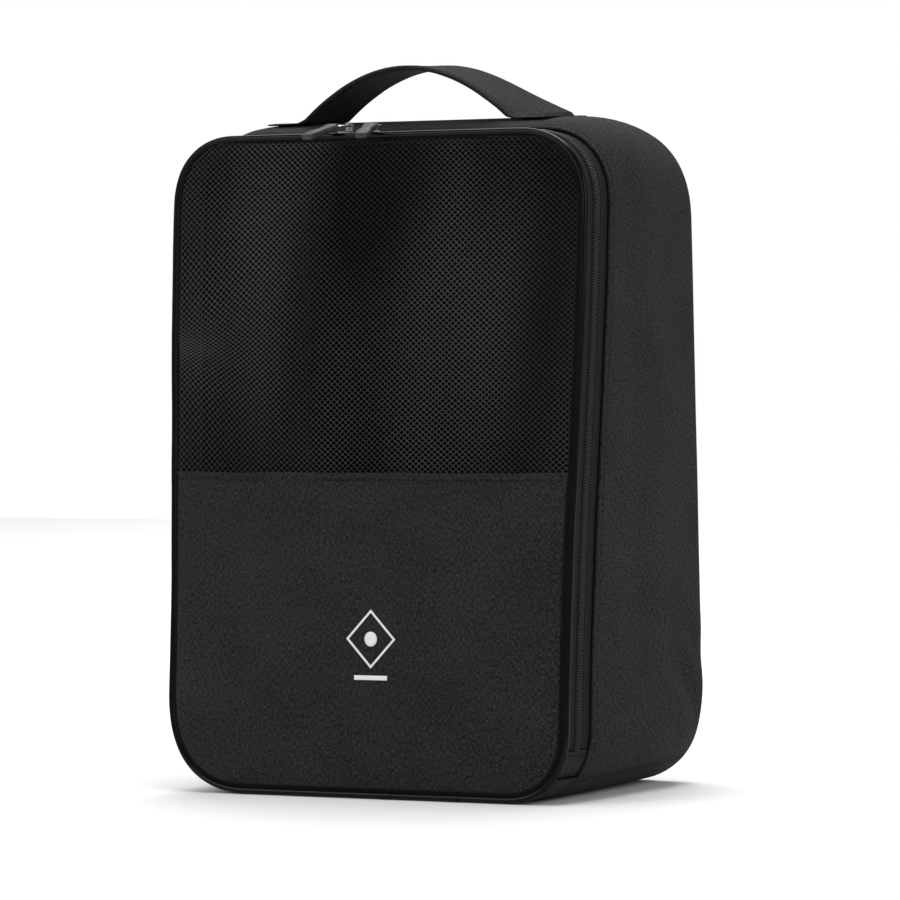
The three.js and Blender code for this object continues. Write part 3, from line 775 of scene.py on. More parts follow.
# ---------------------------------------------------------------------------------------------
# Zip coil: a nylon coil on each tape. Each turn of the coil shows as one rounded tooth, and the
# two rows mesh with a half step between them.
# ---------------------------------------------------------------------------------------------

TOOTH_PITCH = 1.42 * MM
TOOTH_WIDTH = 0.98 * MM
TOOTH_HEIGHT = 1.7 * MM
LID_TEETH = (9.0 * MM, 12.0 * MM)
SHELL_TEETH = (11.5 * MM, 14.5 * MM)


def bead(sides, rings, squareness=2.6):
    """A closed rounded bar along X, all within one unit of its middle: rings of points between
    two poles, each ring's radius a power curve of its place along the bar."""
    place = -np.cos(np.linspace(0, math.pi, rings + 2))[1:-1]
    radius = (1 - np.abs(place) ** squareness) ** (1 / squareness)
    turn = np.linspace(0, 2 * math.pi, sides, endpoint=False)
    rows = np.stack(np.broadcast_arrays(
        place[:, None], radius[:, None] * np.cos(turn), radius[:, None] * np.sin(turn)
    ), -1).reshape(-1, 3)
    points = np.vstack([[-1, 0, 0], rows, [1, 0, 0]])
    k = np.arange(sides)
    after = (k + 1) % sides
    faces = [np.stack([0 * k, 1 + after, 1 + k], 1)]
    for ring in range(rings - 1):
        here, there = 1 + ring * sides, 1 + (ring + 1) * sides
        faces.append(np.stack([here + k, here + after, there + after], 1))
        faces.append(np.stack([here + k, there + after, there + k], 1))
    last = 1 + (rings - 1) * sides
    faces.append(np.stack([last + k, last + after, 0 * k + len(points) - 1], 1))
    return points, np.vstack(faces)


def many(name, shape, middles, lengths, widths, heights, sharp=180):
    """One piece of many like shapes: each point of the shape is a middle plus its three
    coordinates times that copy's length, width and height vectors."""
    points, faces = shape
    places = (
        middles[:, None, :]
        + points[None, :, 0:1] * lengths[:, None, :]
        + points[None, :, 1:2] * widths[:, None, :]
        + points[None, :, 2:3] * heights[:, None, :]
    )
    turned = np.einsum("ij,ij->i", np.cross(lengths, widths), heights) < 0
    copies = faces[None, :, :] + (np.arange(len(middles)) * len(points))[:, None, None]
    copies = np.where(turned[:, None, None], copies[:, :, ::-1], copies)
    return new_piece(name, places, copies.reshape(-1, 3).tolist(), sharp=sharp)


def frames_along(wall, turn, *where):
    """Middle, direction along the line and direction outwards, at each turn on a wall."""
    here = wall(turn, *where)
    ahead = wall(turn + 0.002, *where) - wall(turn - 0.002, *where)
    ahead /= np.linalg.norm(ahead, axis=1)[:, None]
    out = np.stack([read(FRONT_LINE, turn, "out_x"), 0 * turn, read(FRONT_LINE, turn, "out_z")], 1)
    return here, ahead, out


def teeth(name, reach, offset):
    """A row of teeth: beads across the zip between two depths, at even steps along it."""
    turn, run = evenly(FRONT_LINE, ZIP_START, ZIP_END, TOOTH_PITCH / 2)
    turn = turn[offset::2]
    middle, ahead, out = frames_along(front_wall, turn, 2.05 * MM, sum(reach) / 2)
    back = np.tile([0.0, (reach[1] - reach[0]) / 2, 0.0], (len(turn), 1))
    slant = back + ahead * 0.16 * MM
    return many(name, bead(8, 5), middle, slant, ahead * TOOTH_WIDTH / 2, out * TOOTH_HEIGHT / 2)


# Nylon and moulded plastics share a fine mottling, lighter where its fine grain stands high.
mottle, mottle_in, mottle_out = group(
    "moulded_mottle", {"Vector": None, "Grain": 2500.0}, ("Height", "Tone")
)
grain = add(mottle, "ShaderNodeTexNoise", sockets={"Detail": 3.0})
mottle.links.new(mottle_in.outputs["Vector"], grain.inputs["Vector"])
mottle.links.new(mottle_in.outputs["Grain"], grain.inputs["Scale"])
broad = add(mottle, "ShaderNodeTexNoise", sockets={"Scale": 60.0, "Detail": 1.0})
mottle.links.new(mottle_in.outputs["Vector"], broad.inputs["Vector"])
mottle.links.new(grain.outputs["Fac"], mottle_out.inputs["Height"])
mottle.links.new(
    arithmetic(
        mottle, "MULTIPLY_ADD", broad.outputs["Fac"], 0.5,
        arithmetic(mottle, "MULTIPLY", grain.outputs["Fac"], 0.5),
    ),
    mottle_out.inputs["Tone"],
)


def moulded_material(name, dark, light, roughness, bump, grain_scale=2500.0, **constants):
    """Plastic, rubber or metal with the fine mottling."""
    material, tree, shader = shader_of(name, roughness, **constants)
    place = add(tree, "ShaderNodeTexCoord")
    marks = add(tree, "ShaderNodeGroup", node_tree=mottle)
    marks.inputs["Grain"].default_value = grain_scale
    tree.links.new(place.outputs["Object"], marks.inputs["Vector"])
    finish_with(tree, shader, marks.outputs["Tone"], dark, light, marks.outputs["Height"], bump)
    return material


NYLON = moulded_material("black_nylon_coil", grey(0.004), grey(0.020), 0.45, 0.03 * MM)
dress(teeth("coil_teeth_on_gusset", SHELL_TEETH, 0), NYLON, "shell", "coil", "zipper_coil_shell")
dress(teeth("coil_teeth_on_lid", LID_TEETH, 1), NYLON, "lid", "coil", "zipper_coil_lid")


# ---------------------------------------------------------------------------------------------
# Piping: a glossy cord of black vinyl sewn into the seam round the whole front, with the flat
# lip that it is sewn by showing as a thin line inside it, and two joins near the middle of the base.
# ---------------------------------------------------------------------------------------------

PIPING_RADIUS = 1.75 * MM
PIPING_INSET = 2.05 * MM


def piping_round(turn, run, radius):
    """A round cord on the front seam: a circle carried along the line, a little uneven."""
    circle = np.linspace(0, 2 * math.pi, 17)[:-1][None, :]
    uneven = 1 + 0.03 * ripple(run * 60, 0 * run, 31)[:, None]
    inset = PIPING_INSET + radius * uneven * np.cos(circle)
    sideways = 0.25 * MM * ripple(run * 24, 0 * run, 32)[:, None]
    return front_wall(
        turn[:, None], inset + 0 * turn[:, None], sideways + radius * uneven * np.sin(circle)
    )


turn, run = evenly(FRONT_LINE, 0, TURNS, 2.2 * MM)
VINYL = moulded_material(
    "black_vinyl_piping", grey(0.001), grey(0.003), 0.2, 0.01 * MM, 500.0, specular_ior_level=0.12
)
dress(
    woven(
        "front_piping_cord", piping_round(turn[:-1], run[:-1], PIPING_RADIUS), run,
        np.linspace(0, 11 * MM, 17), ring=True,
    ),
    VINYL, "lid", "piping_vinyl", "front_piping",
)
turn, run = evenly(FRONT_LINE, 0, TURNS, 2.5 * MM)
lip_inset = np.array([2.6, 3.6, 4.6, 5.3, 5.5, 5.3, 4.6, 3.6, 2.6]) * MM
lip_depth = np.array([-0.7, -0.95, -1.25, -1.45, -1.25, -1.05, -0.85, -0.6, -0.3]) * MM
grid = front_wall(turn[:-1, None], lip_inset[None, :], lip_depth[None, :])
LIP_VINYL = moulded_material(
    "black_matt_vinyl", grey(0.001), grey(0.004), 0.75, 0.03 * MM, 900.0, specular_ior_level=0.08
)
dress(
    woven("piping_lip", grid, run, np.linspace(0, 9 * MM, 10), ring=True, sharp=80),
    LIP_VINYL, "lid", "piping_vinyl",
)
for number, start in enumerate((0.12, 0.60)):
    turn, run = evenly(FRONT_LINE, start, start + 0.09, 0.8 * MM)
    ends = 1 - np.linspace(-1, 1, len(turn)) ** 8
    grid = piping_round(turn, run, PIPING_RADIUS + 0.28 * MM)
    axis = grid.mean(1, keepdims=True)
    grid = axis + (grid - axis) * (0.9 + 0.1 * ends)[:, None, None]
    dress(
        woven(f"piping_join_{number + 1}", grid, run, np.linspace(0, 11 * MM, 17)),
        VINYL, "lid", "piping_vinyl",
    )


# ---------------------------------------------------------------------------------------------
# Mesh window: an open knitted net in the upper half of the front. Two sets of slanting threads
# cross at small knots, half a step apart from row to row; pulled tight, the rows draw together
# a little at the left edge.
# ---------------------------------------------------------------------------------------------

NET_STEP = 3.75 * MM  # between knots in a row
NET_ROW = 1.52 * MM  # between rows
NET_FOOT = 163 * MM
THREAD = 0.21 * MM  # half the width of a thread
FRONT_CROWN = 4.0 * MM


def front_face(x, z, edge, proud):
    """Y of a layer of the front at a point: the seam plane, less its crown, less how far the
    layer stands proud once away from the seam."""
    rise = 1 - np.exp(-np.maximum(edge, 0) / (5 * MM))
    return seam_y(z) - FRONT_CROWN * dome(x, z) - (0.6 * MM + proud * rise)


def net_shape(x, z):
    """The net drawn out of true: rows pull together at the left about two thirds up and spread
    below, and the whole is slightly skewed."""
    near_left = np.exp(-(((x + HALF_WIDTH) / (48 * MM)) ** 2))
    pinch = np.exp(-(((z - 236 * MM) / (34 * MM)) ** 2)) * (z - 236 * MM)
    z = z - 0.50 * near_left * pinch + 1.6 * MM * ripple(x * 9, z * 9, 41)
    x = x + 1.1 * MM * ripple(x * 11, z * 11, 42)
    return x, z


rows = np.arange(int((TOP - NET_FOOT) / NET_ROW) + 16)
columns = np.arange(-38, 39)
row, column = np.meshgrid(rows, columns, indexing="ij")
knot_x, knot_z = net_shape(
    (column + 0.5 * (row % 2)) * NET_STEP, NET_FOOT - 8 * NET_ROW + row * NET_ROW
)
left, right = side_limits(FRONT_LINE, 3.4 * MM, knot_z)
edge = np.minimum(np.minimum(knot_x - left, right - knot_x), TOP - 3.4 * MM - knot_z)
inside = (edge > 0.8 * MM) & (knot_z > NET_FOOT)
tied = inside & (edge > 2.5 * MM)
slack = 0.5 * MM * ripple(knot_x * 20, knot_z * 20, 43)
knot_y = front_face(knot_x, knot_z, edge, 0.3 * MM) + slack * np.clip(edge / (20 * MM), 0, 1)
knots = np.stack([knot_x, knot_y, knot_z], -1)
number = np.arange(inside.size).reshape(inside.shape)
pairs = []
for turned in (0, 1):
    here = number[:-1]
    shift = np.where(row[:-1] % 2 == 1, turned, turned - 1)
    there_column = np.arange(len(columns))[None, :] + shift
    fits = (there_column >= 0) & (there_column < len(columns))
    there_column = np.clip(there_column, 0, len(columns) - 1)
    there = number[1:][np.arange(len(rows) - 1)[:, None], there_column]
    both = fits & inside[:-1] & inside.ravel()[there]
    pairs.append(np.stack([here[both], there[both]], 1))
pairs = np.vstack(pairs)
flat_knots = knots.reshape(-1, 3)
start, end = flat_knots[pairs[:, 0]], flat_knots[pairs[:, 1]]

bar_end = np.array([[0, 1], [1, 0], [0, -1], [-1, 0]], float)
thread_bar = (
    np.vstack([np.hstack([np.full((4, 1), s), bar_end]) for s in (-1.0, 1.0)]),
    np.array([
        [0, 5, 1], [0, 4, 5], [1, 6, 2], [1, 5, 6], [2, 7, 3], [2, 6, 7], [3, 4, 0], [3, 7, 4],
    ])[:, ::-1],
)
knot_bead = (
    np.array([[1, 0, 0], [0, 1, 0], [-1, 0, 0], [0, -1, 0], [0, 0, 1], [0, 0, -1]], float),
    np.array([[0, 1, 4], [1, 2, 4], [2, 3, 4], [3, 0, 4], [1, 0, 5], [2, 1, 5], [3, 2, 5], [0, 3, 5]]),
)


half = (end - start) / 2
direction = half / np.linalg.norm(half, axis=1)[:, None]
forward = np.tile([0.0, -1.0, 0.0], (len(half), 1))
sideways = np.cross(direction, forward)
net = many("window_net", thread_bar, (start + end) / 2, half, sideways * THREAD, forward * 0.26 * MM)
shown = flat_knots[tied.ravel()] + [0, -0.08 * MM, 0]
ones = np.ones((len(shown), 1))
net_knots = many(
    "window_net_knots", knot_bead, shown, ones * [0.52 * MM, 0, 0], ones * [0, -0.40 * MM, 0],
    ones * [0, 0, 0.40 * MM],
)
# The yarn's colour is painted lighter and darker in broad upright bands: painted light and shade of soft
# folds of the net, which its mesh doesn't have.
NET, net_tree, net_shader = shader_of("black_net_yarn", 0.55, specular_ior_level=0.2)
net_place = add(net_tree, "ShaderNodeTexCoord")
net_marks = add(net_tree, "ShaderNodeGroup", node_tree=mottle)
net_tree.links.new(net_place.outputs["Object"], net_marks.inputs["Vector"])
net_painted_fold_mapping = add(net_tree, "ShaderNodeMapping", sockets={"Scale": (13.0, 2.0, 4.5)})
net_tree.links.new(net_place.outputs["Object"], net_painted_fold_mapping.inputs["Vector"])
net_painted_fold_noise = add(net_tree, "ShaderNodeTexNoise", sockets={"Scale": 1.0, "Detail": 1.0})
net_tree.links.new(net_painted_fold_mapping.outputs[0], net_painted_fold_noise.inputs["Vector"])
# Painted light and shade: the yarn runs lighter and darker by these broad upright bands.
net_painted_fold_light = arithmetic(net_tree, "MULTIPLY_ADD", net_painted_fold_noise.outputs[0], 2.6, -0.9, clamp=True)
finish_with(
    net_tree, net_shader, net_painted_fold_light, grey(0.010), grey(0.085), net_marks.outputs["Height"], 0.05 * MM
)
dress(net, NET, "lid", "net_cloth", "mesh_window")
dress(net_knots, NET, "lid", "net_cloth", "mesh_window")


# ---------------------------------------------------------------------------------------------
# Lower front panel: plain oxford over the lower half, its top edge turned down and stitched as a
# hem over the net, with a lining behind it. A simple white print sits low in the middle.
# ---------------------------------------------------------------------------------------------

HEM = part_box("front_lower_panel")[1].z
HEM_TURN = 10 * MM
PANEL_PROUD = 1.9 * MM


def panel_slack(x, z):
    """Soft unevenness of the lower panel: broad ripples, a shallow bow at the lower corners and
    faint drag lines that fan up from them."""
    broad = 0.45 * MM * ripple(x * 15, z * 15, 51, 6)
    drag = 0.0
    for side in (-1, 1):
        away_x, away_z = (side * x - 0.085), z - 0.02
        reach = np.hypot(away_x, away_z)
        lines = np.sin(np.arctan2(away_z, -away_x) * 11 + side)
        drag = drag + 0.30 * MM * lines * np.exp(-(((reach - 0.045) / 0.03) ** 2))
    return broad + drag


def panel_front(x, z, edge):
    """Y of the lower panel's outer face."""
    settle = 1 - np.exp(-np.maximum(edge, 0) / (16 * MM))
    return front_face(x, z, edge, PANEL_PROUD) + panel_slack(x, z) * settle


heights = ends_close(4.2 * MM, HEM - 0.7 * MM, 84, 1.5)
x, z, edge = panel_rows(FRONT_LINE, 4.2 * MM, heights, 100, 1.6 * MM)
hem_wave = 0.45 * MM * ripple(x * 20, 0 * x, 52)
z = z + hem_wave * np.clip((z - HEM + 30 * MM) / (30 * MM), 0, 1)
y = panel_front(x, z, edge)
hem_depth = HEM - z
y = y - 0.35 * MM * np.exp(-np.maximum(hem_depth - 0.6 * MM, 0) ** 2 / (6 * MM) ** 2)
y = y + 1.0 * MM * np.exp(-(((hem_depth - 4.0 * MM) / (0.6 * MM)) ** 2))
top_x, top_y, top_z = x[-1], y[-1], z[-1]
fold = np.linspace(0, math.pi, 7)[1:, None]
fold_y = top_y[None, :] + 0.65 * MM * (1 - np.cos(fold))
fold_z = top_z[None, :] + 0.65 * MM * np.sin(fold)
down = np.linspace(0.1, 1, 6)[:, None]
back_z = top_z[None, :] - HEM_TURN * down
back_y = fold_y[-1:] - LEAN * HEM_TURN * down
x = np.vstack([x, np.repeat(top_x[None, :], 12, 0)])
y = np.vstack([y, fold_y, back_y])
z = np.vstack([z, fold_z, back_z])
lower_panel = panel_sheet("lower_front_cloth", x, y, z, 0.55 * MM, True)
dress(lower_panel, OXFORD, "lid", "oxford_cloth", "front_lower_panel")

heights = ends_close(5.0 * MM, 162 * MM, 60, 1.5)
x, z, edge = panel_rows(FRONT_LINE, 5.0 * MM, heights, 70)
y = front_face(x, z, edge, -0.8 * MM) + 0.2 * MM * ripple(x * 18, z * 18, 54)
lower_lining = panel_sheet("lower_front_lining", x, y, z, 0.5 * MM, True)
dress(lower_lining, LINING, "lid", "lining_cloth", "lower_panel_lining")

turn, run = evenly(FRONT_LINE, 0, TURNS, 4 * MM)
grid = front_wall(
    turn[:-1, None], 5.6 * MM + 1.4 * MM * np.cos(round_edge)[None, :],
    2.4 * MM + 1.4 * MM * np.sin(round_edge)[None, :],
)
dress(
    woven("lid_seam_tape", grid, run, np.linspace(0, 9 * MM, 9), ring=True),
    TAPE_EDGE, "lid", "lining_cloth", "lid_seam_binding",
)

# The print: a diamond outline round a disc, over a short bar, laid on the panel's own surface.
MARK_MIDDLE = sum((Vector(c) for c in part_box("printed_mark_frame")), Vector()) / 2
MARK_REACH = (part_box("printed_mark_frame")[1].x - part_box("printed_mark_frame")[0].x) / 2
MARK_LINE = 1.2 * MM


def print_layer(name, x, z, ring):
    """A thin layer of ink on a grid of points: just proud of the panel's face."""
    edge = np.full(x.shape, 60 * MM)
    y = panel_front(x, z, edge) - 0.16 * MM
    piece = woven(name, np.stack([x, y, z], -1), tube=False, ring=ring)
    return thicken(piece, 0.14 * MM, 0.0)


INK, ink_tree, ink_shader = shader_of("white_ink", 0.5)
ink_place = add(ink_tree, "ShaderNodeTexCoord")
ink_marks = add(ink_tree, "ShaderNodeGroup", node_tree=mottle)
ink_tree.links.new(ink_place.outputs["Object"], ink_marks.inputs["Vector"])
finish_with(
    ink_tree, ink_shader, ink_marks.outputs["Tone"], grey(0.62), grey(0.86),
    ink_marks.outputs["Height"], 0.05 * MM,
)
side = np.linspace(0, 4, 81)[:-1]
corner_x, corner_z = np.array([1, 0, -1, 0, 1.0]), np.array([0, 1, 0, -1, 0.0])
ring_x, ring_z = np.interp(side, np.arange(5), corner_x), np.interp(side, np.arange(5), corner_z)
inner_reach = MARK_REACH - MARK_LINE * math.sqrt(2)
reach = np.array([inner_reach, MARK_REACH])[None, :]
frame_ink = print_layer(
    "print_frame", MARK_MIDDLE.x + ring_x[:, None] * reach, MARK_MIDDLE.z + ring_z[:, None] * reach, True
)
circle = np.linspace(0, 2 * math.pi, 49)[:-1, None]
reach = np.array([0.02, 0.5, 1.0])[None, :] * MARK_REACH / 4
disc_ink = print_layer(
    "print_disc", MARK_MIDDLE.x + np.cos(circle) * reach, MARK_MIDDLE.z + np.sin(circle) * reach, True
)
bar_low, bar_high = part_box("printed_mark_bar")
bar_x, bar_z = np.meshgrid(
    np.linspace(bar_high.x, bar_low.x, 30), np.linspace(bar_low.z, bar_high.z, 4), indexing="ij"
)
bar_ink = print_layer("print_bar", bar_x, bar_z, False)
for ink, node in (
    (frame_ink, "printed_mark_frame"), (disc_ink, "printed_mark_disc"), (bar_ink, "printed_mark_bar"),
):
    dress(ink, INK, "lid", "white_print", node)


# ---------------------------------------------------------------------------------------------
# Carry handle: one strap of doubled oxford, edge-stitched, bent up in an arch over the top. Its
# flat tails are sewn down to the gusset, so it bends just above them.
# ---------------------------------------------------------------------------------------------

STRAP_LOW, STRAP_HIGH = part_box("handle_strap")
TAIL_LEFT, TAIL_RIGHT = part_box("handle_foot_left")[0].x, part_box("handle_foot_right")[1].x
STRAP_THICKNESS = 2.4 * MM
HANDLE_MIDDLE = (STRAP_LOW.x + STRAP_HIGH.x) / 2
HANDLE_SPAN = 128 * MM
STRAP_MIDDLE_Y = (STRAP_LOW.y + STRAP_HIGH.y) / 2
STRAP_WIDTH = STRAP_HIGH.y - STRAP_LOW.y


def top_height(x):
    """Height of the gusset's outer face under the strap, from the outline's upper half."""
    turn = np.linspace(6, 3, 600)
    line = full_wall(turn, -gusset_swell(turn, 0.4), 0.4, GUSSET_FRONT, 0.0)
    return np.interp(x, line[:, 0], line[:, 2])


FEET_X = HANDLE_MIDDLE + np.array([-0.5, 0.5]) * HANDLE_SPAN
FEET_HEIGHT = top_height(FEET_X) + 1.4 * MM
HANDLE_RISE = STRAP_HIGH.z + 0.6 * MM - FEET_HEIGHT.mean()


def strap_line(share):
    """Point of the strap's middle line: a parabola between the feet, and beyond them a tail that
    lies on the gusset and follows its corner. The two meet in a short curve."""
    x = HANDLE_MIDDLE + share * HANDLE_SPAN / 2
    arch = HANDLE_RISE * (1 - share**2)
    soft = 0.7 * MM
    lifted = soft * np.logaddexp(0, arch / soft) - soft * math.log(2) * np.exp(-np.abs(arch) / soft)
    sewn_down = 1.5 * MM * np.clip((np.abs(share) - 1) / 0.08, 0, 1)
    seat = np.interp(x, FEET_X, FEET_HEIGHT)
    seat = np.where(np.abs(share) < 1, seat, top_height(x) + 1.4 * MM)
    return x, seat - sewn_down + lifted


def strap_frame(share):
    """Place, direction and upward direction on the strap's middle line."""
    x, z = strap_line(share)
    x0, z0 = strap_line(share - 0.01)
    x1, z1 = strap_line(share + 0.01)
    length = np.hypot(x1 - x0, z1 - z0)
    return x, z, (x1 - x0) / length, (z1 - z0) / length


def on_strap(share, across, lift):
    """Point on the strap: across it along Y, lifted square to it. The strap is sewn down askew:
    its rear edge meets the right foot further out, by a share of its width from the front edge."""
    x, z, way_x, way_z = strap_frame(share)
    rear = across / STRAP_WIDTH + 0.5
    rising = np.clip(share, 0, 1) ** 5
    falling = np.clip((LAST_SHARE - share) / (LAST_SHARE - 1), 0, 1)
    askew = RIGHT_SKEW * rear * rising * falling
    lift = lift * (1 - 0.6 * np.clip((np.abs(share) - 1) / 0.1, 0, 1))
    return np.stack(np.broadcast_arrays(
        x - way_z * lift + askew, STRAP_MIDDLE_Y + across, z + way_x * lift
    ), -1)


RIGHT_SKEW = 15 * MM
LAST_SHARE = 2 * (TAIL_RIGHT - HANDLE_MIDDLE) / HANDLE_SPAN
first = 2 * (TAIL_LEFT - HANDLE_MIDDLE) / HANDLE_SPAN
last = LAST_SHARE
share = np.linspace(first, last, 180)
across, lift, lengths = strip_section(
    -STRAP_THICKNESS / 2, STRAP_THICKNESS / 2, -STRAP_WIDTH / 2, STRAP_WIDTH / 2,
    np.concatenate([np.linspace(0, 0.12, 7), np.linspace(0.2, 0.8, 8), np.linspace(0.88, 1, 7)]),
)[1::-1] + (None,)
from_edge = STRAP_WIDTH / 2 - np.abs(across)
pulled_in = 0.30 * MM * np.exp(-(((from_edge - 3 * MM) / (0.8 * MM)) ** 2))
pulled_in += 0.25 * MM * np.clip((from_edge - 5 * MM) / (6 * MM), 0, 1)
lift = np.sign(lift) * np.maximum(np.abs(lift) - pulled_in, 0)
uneven = 0.2 * MM * ripple(share * 8, 0 * share, 61)[:, None]
grid = on_strap(share[:, None], across[None, :] + uneven, lift[None, :])
run = share * HANDLE_SPAN / 2 * 1.2
strap = woven(
    "carry_handle", grid, run, np.concatenate([[0], np.cumsum(np.hypot(np.diff(across), np.diff(lift)))])
)
strap.data.materials.append(OXFORD)
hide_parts("handle_strap", "handle_foot_left", "handle_foot_right")
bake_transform(strap)


# ---------------------------------------------------------------------------------------------
# Stitching: black thread in rows of even stitches, each a small bead sunk in its dent. Rows run
# along the gusset's fold, the hem, the handle's edges and feet, the tabs and the base seams.
# ---------------------------------------------------------------------------------------------

STITCH_PITCH = 3.0 * MM
STITCH_LENGTH = 2.2 * MM
STITCH_WIDTH = 0.62 * MM
STITCH_THREAD = moulded_material(
    "black_sewing_thread", grey(0.002), grey(0.008), 0.6, 0.04 * MM, 3000.0, specular_ior_level=0.15
)


def stitches(name, middles, along, out, body, length=STITCH_LENGTH):
    """A row of stitches: beads along the seam, flattened against the cloth."""
    along = along / np.linalg.norm(along, axis=1)[:, None]
    out = out / np.linalg.norm(out, axis=1)[:, None]
    side = np.cross(out, along)
    row = many(
        name, bead(6, 3), middles, along * length / 2, side * STITCH_WIDTH / 2, out * STITCH_WIDTH / 2.4
    )
    row.data.materials.append(STITCH_THREAD)
    if body:
        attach(row, body)
    return row


def gusset_stitch_place(turn, depth):
    """Point on the gusset's outer face at a depth behind its fold."""
    reach = BACK_Y - seam_y(read(FRONT_LINE, turn, "z")) - GUSSET_FRONT
    share = depth / reach
    inset = -gusset_swell(turn, share) + topstitch_dent(depth) - 0.08 * MM
    place = full_wall(turn, inset, share, GUSSET_FRONT, 0.0)
    run = read(FRONT_LINE, turn, "run")
    place[:, 1] += 0.35 * MM * ripple(run * 22, 0 * run, 3) * np.exp(-depth / (6 * MM))
    return place


turn, run = evenly(FRONT_LINE, 1.52, 7.48, STITCH_PITCH)
middle, ahead, out = frames_along(gusset_stitch_place, turn, 3.2 * MM)
stitches("gusset_topstitch", middle, ahead, out, "shell")

turn, run = evenly(FRONT_LINE, ZIP_START, ZIP_END, TOOTH_PITCH * 2)
for word, depth, body in (("gusset", 15.4 * MM, "shell"), ("lid", 8.1 * MM, "lid")):
    middle, ahead, out = frames_along(front_wall, turn, TAPE_TOP - 0.02 * MM, depth)
    stitches(f"coil_stitch_on_{word}", middle, ahead, out, body, TOOTH_PITCH * 1.5)

x = np.arange(-HALF_WIDTH + 9 * MM, HALF_WIDTH - 8 * MM, STITCH_PITCH)
z = HEM - 4.0 * MM + 0.45 * MM * ripple(x * 20, 0 * x, 52)
left, right = side_limits(FRONT_LINE, 4.2 * MM, z)
edge = np.minimum(x - left, right - 1.6 * MM - x)
y = panel_front(x, z, edge) - 0.35 * MM * math.exp(-((3.4 / 6) ** 2)) + 0.38 * MM
middle = np.stack([x, y, z], 1)
along = np.gradient(middle, axis=0)
stitches("hem_topstitch", middle, along, np.tile([0.0, -1.0, LEAN], (len(x), 1)), "lid")

handle_rows = []
for side in (-1, 1):
    across = side * (STRAP_WIDTH / 2 - 3 * MM)
    lengths = np.arange(first + 0.05, last - 0.05, STITCH_PITCH / (HANDLE_SPAN / 2) / 1.12)
    for face in (1, -1):
        lift = face * (STRAP_THICKNESS / 2 - 0.26 * MM)
        middle = on_strap(lengths, across, lift)
        along = on_strap(lengths + 0.01, across, lift) - on_strap(lengths - 0.01, across, lift)
        out = on_strap(lengths, across, lift + 0.001 * face) - middle
        handle_rows.append((middle, along, out))
for foot, way in ((-1.0, -1), (1.0, 1)):
    for step in (0.035, 0.30):
        across = np.arange(-STRAP_WIDTH / 2 + 4.5 * MM, STRAP_WIDTH / 2 - 4 * MM, STITCH_PITCH)
        share = np.full(len(across), foot + way * step)
        lift = STRAP_THICKNESS / 2 - 0.22 * MM
        middle = on_strap(share, across, lift)
        along = np.tile([0.0, 1.0, 0.0], (len(across), 1))
        handle_rows.append((middle, along, on_strap(share, across, lift + 0.001) - middle))
middle, along, out = (np.vstack([row[k] for row in handle_rows]) for k in range(3))
handle_stitches = stitches("handle_stitch", middle, along, out, None)
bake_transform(handle_stitches)

tab_rows = []
for start in (TAB_START + 0.03, ZIP_START - 0.05, TURNS - TAB_START - 0.03, TURNS - ZIP_START + 0.05):
    depth = np.arange(4 * MM, 22 * MM, 2.4 * MM)
    turn = np.full(len(depth), start)
    middle = front_wall(turn, 1.15 * MM, depth)
    out = np.stack([read(FRONT_LINE, turn, "out_x"), 0 * turn, read(FRONT_LINE, turn, "out_z")], 1)
    tab_rows.append((middle, np.tile([0.0, 1.0, 0.0], (len(depth), 1)), out))
middle, along, out = (np.vstack([row[k] for row in tab_rows]) for k in range(3))
stitches("zip_end_stitch", middle, along, out, "shell")

seam_rows = []
for start, way in ((1 + BASE_SEAM, 1), (8 - BASE_SEAM, -1)):
    depth = np.arange(3 * MM, 112 * MM, STITCH_PITCH)
    turn = np.full(len(depth), start + way * 0.035)
    middle = gusset_stitch_place(turn, depth)
    keep = depth < (BACK_Y - seam_y(middle[:, 2]) - GUSSET_FRONT) - 5 * MM
    out = np.stack([read(FRONT_LINE, turn, "out_x"), 0 * turn, read(FRONT_LINE, turn, "out_z")], 1)
    seam_rows.append((middle[keep], np.gradient(middle, axis=0)[keep], out[keep]))
middle, along, out = (np.vstack([row[k] for row in seam_rows]) for k in range(3))
stitches("base_seam_stitch", middle, along, out, "shell")


# ---------------------------------------------------------------------------------------------
# Sliders and pulls: two plated sliders with their bridges stay as machined. Each has a bright
# wire loop and a moulded rubber grip, waisted and ribbed, that hangs from it.
# ---------------------------------------------------------------------------------------------

PLATED = moulded_material(
    "bright_plated_metal", grey(0.42), grey(0.62), 0.22, 0.01 * MM, 1800.0, metallic=1.0
)
RUBBER = moulded_material(
    "black_pull_rubber", grey(0.010), grey(0.045), 0.5, 0.12 * MM, 1400.0, specular_ior_level=0.35
)
LINK_LENGTH = 11 * MM
LINK_SIDE = 2.75 * MM
WIRE = 0.62 * MM
GRIP_LENGTH = 25 * MM
GRIP_DROOP = math.radians(13)


def wire_loop(name, middle, way, side, up):
    """A closed wire loop: a squared circle for its line, with a round section carried round it."""
    turn = np.linspace(0, 2 * math.pi, 65)[:-1]
    power = lambda v: np.sign(v) * np.abs(v) ** 0.55
    ahead = LINK_LENGTH / 2 * power(np.cos(turn))
    across = LINK_SIDE * power(np.sin(turn))
    flow = np.stack(
        [np.gradient(np.append(line, line[0]))[:-1] for line in (ahead, across)], 1
    )
    flow /= np.linalg.norm(flow, axis=1)[:, None]
    section = np.linspace(0, 2 * math.pi, 11)[:-1]
    out_ahead = ahead[:, None] + flow[:, 1:2] * WIRE * np.cos(section)
    out_across = across[:, None] - flow[:, 0:1] * WIRE * np.cos(section)
    lift = np.broadcast_to(WIRE * np.sin(section), out_ahead.shape)
    grid = middle + out_ahead[..., None] * way + out_across[..., None] * side + lift[..., None] * up
    return woven(name, grid, ring=True, sharp=180)


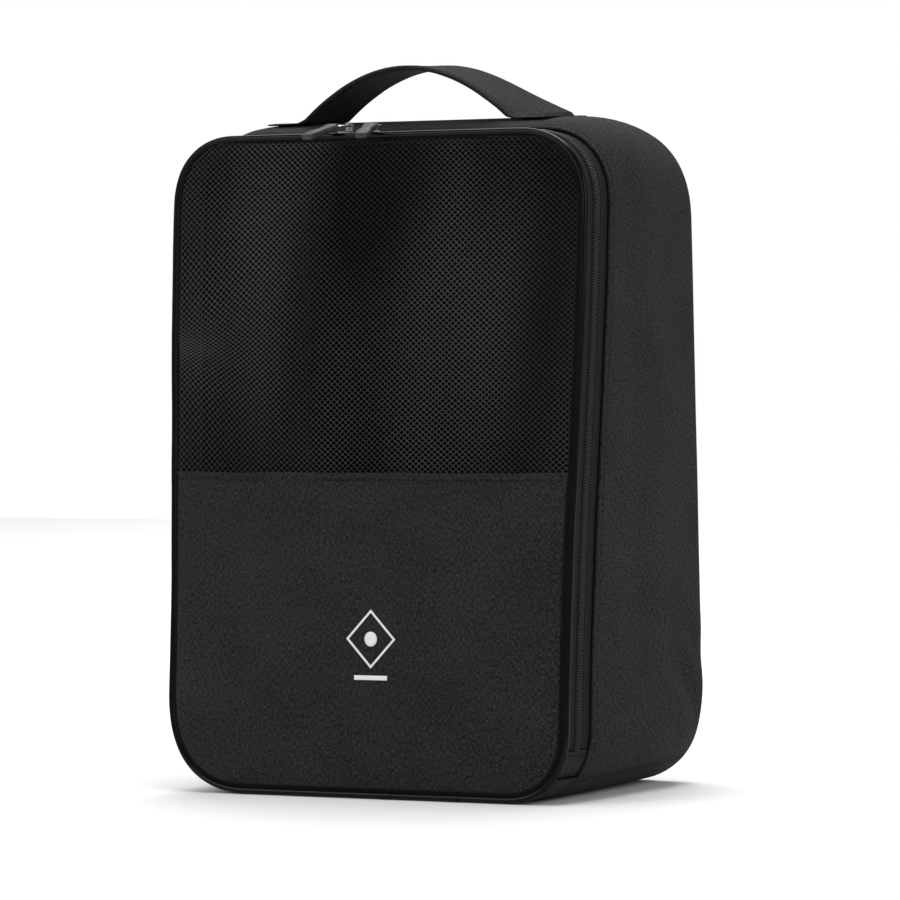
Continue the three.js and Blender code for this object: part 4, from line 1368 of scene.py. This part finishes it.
def grip_body(name, start, way, side, up):
    """A rubber grip: a rounded-rectangle section along its length, wide at both ends, narrow in
    the waist, thin at the eye, with fine ribs across its wider faces."""
    share = (1 - np.cos(np.linspace(0, math.pi, 90))) / 2
    neck = np.clip(share / 0.16, 0, 1)
    half_width = (2.0 + 1.9 * neck**1.5 - 1.15 * np.exp(-(((share - 0.48) / 0.15) ** 2))) * MM
    half_depth = (1.35 + 0.75 * neck - 0.35 * np.exp(-(((share - 0.48) / 0.18) ** 2))) * MM
    ends = (1 - np.abs(2 * share - 1) ** 9) ** 0.42
    half_width, half_depth = half_width * np.maximum(ends, 0.02), half_depth * np.maximum(ends, 0.02)
    turn = np.linspace(0, 2 * math.pi, 33)[:-1][None, :]
    power = lambda v: np.sign(v) * np.abs(v) ** 0.55
    ribs = 0.22 * MM * np.sin(share * math.pi * 26) * np.clip((share - 0.2) / 0.05, 0, 1)
    ribs = (ribs * np.clip((0.93 - share) / 0.05, 0, 1))[:, None] * np.abs(np.sin(turn)) ** 3
    across = half_width[:, None] * power(np.cos(turn))
    lift = half_depth[:, None] * power(np.sin(turn)) + ribs * np.sign(np.sin(turn))
    ahead = (share[:, None] * (GRIP_LENGTH + 1.2 * MM) - 1.2 * MM) + 0 * turn
    grid = start + ahead[..., None] * way + across[..., None] * side + lift[..., None] * up
    return woven(name, grid, sharp=180)


for word in ("left", "right"):
    for node in (f"slider_{word}_body", f"slider_{word}_bridge"):
        metal = frame["nodes"][node].data
        metal.materials.clear()
        metal.materials.append(PLATED)
    loop_joint = next(j for j in frame["joints"] if j["name"] == f"loop_{word}_swing")
    grip_joint = next(j for j in frame["joints"] if j["name"] == f"grip_{word}_swing")
    hinge, eye = np.array(loop_joint["pos_m"]), np.array(grip_joint["pos_m"])
    way = (eye - hinge) / np.linalg.norm(eye - hinge)
    side, up = np.cross([0, 0, 1], way), np.array([0.0, 0, 1])
    loop = wire_loop(f"pull_{word}_wire_loop", (hinge + eye) / 2, way, side, up)
    dress(loop, PLATED, f"loop_{word}", "slider_metal", f"pull_{word}_loop")
    drooped = way * math.cos(GRIP_DROOP) - up * math.sin(GRIP_DROOP)
    grip_up = np.cross(drooped, side)
    grip = grip_body(f"pull_{word}_rubber_grip", eye, drooped, side, grip_up)
    dress(grip, RUBBER, f"grip_{word}", "pull_rubber", f"pull_{word}_grip")
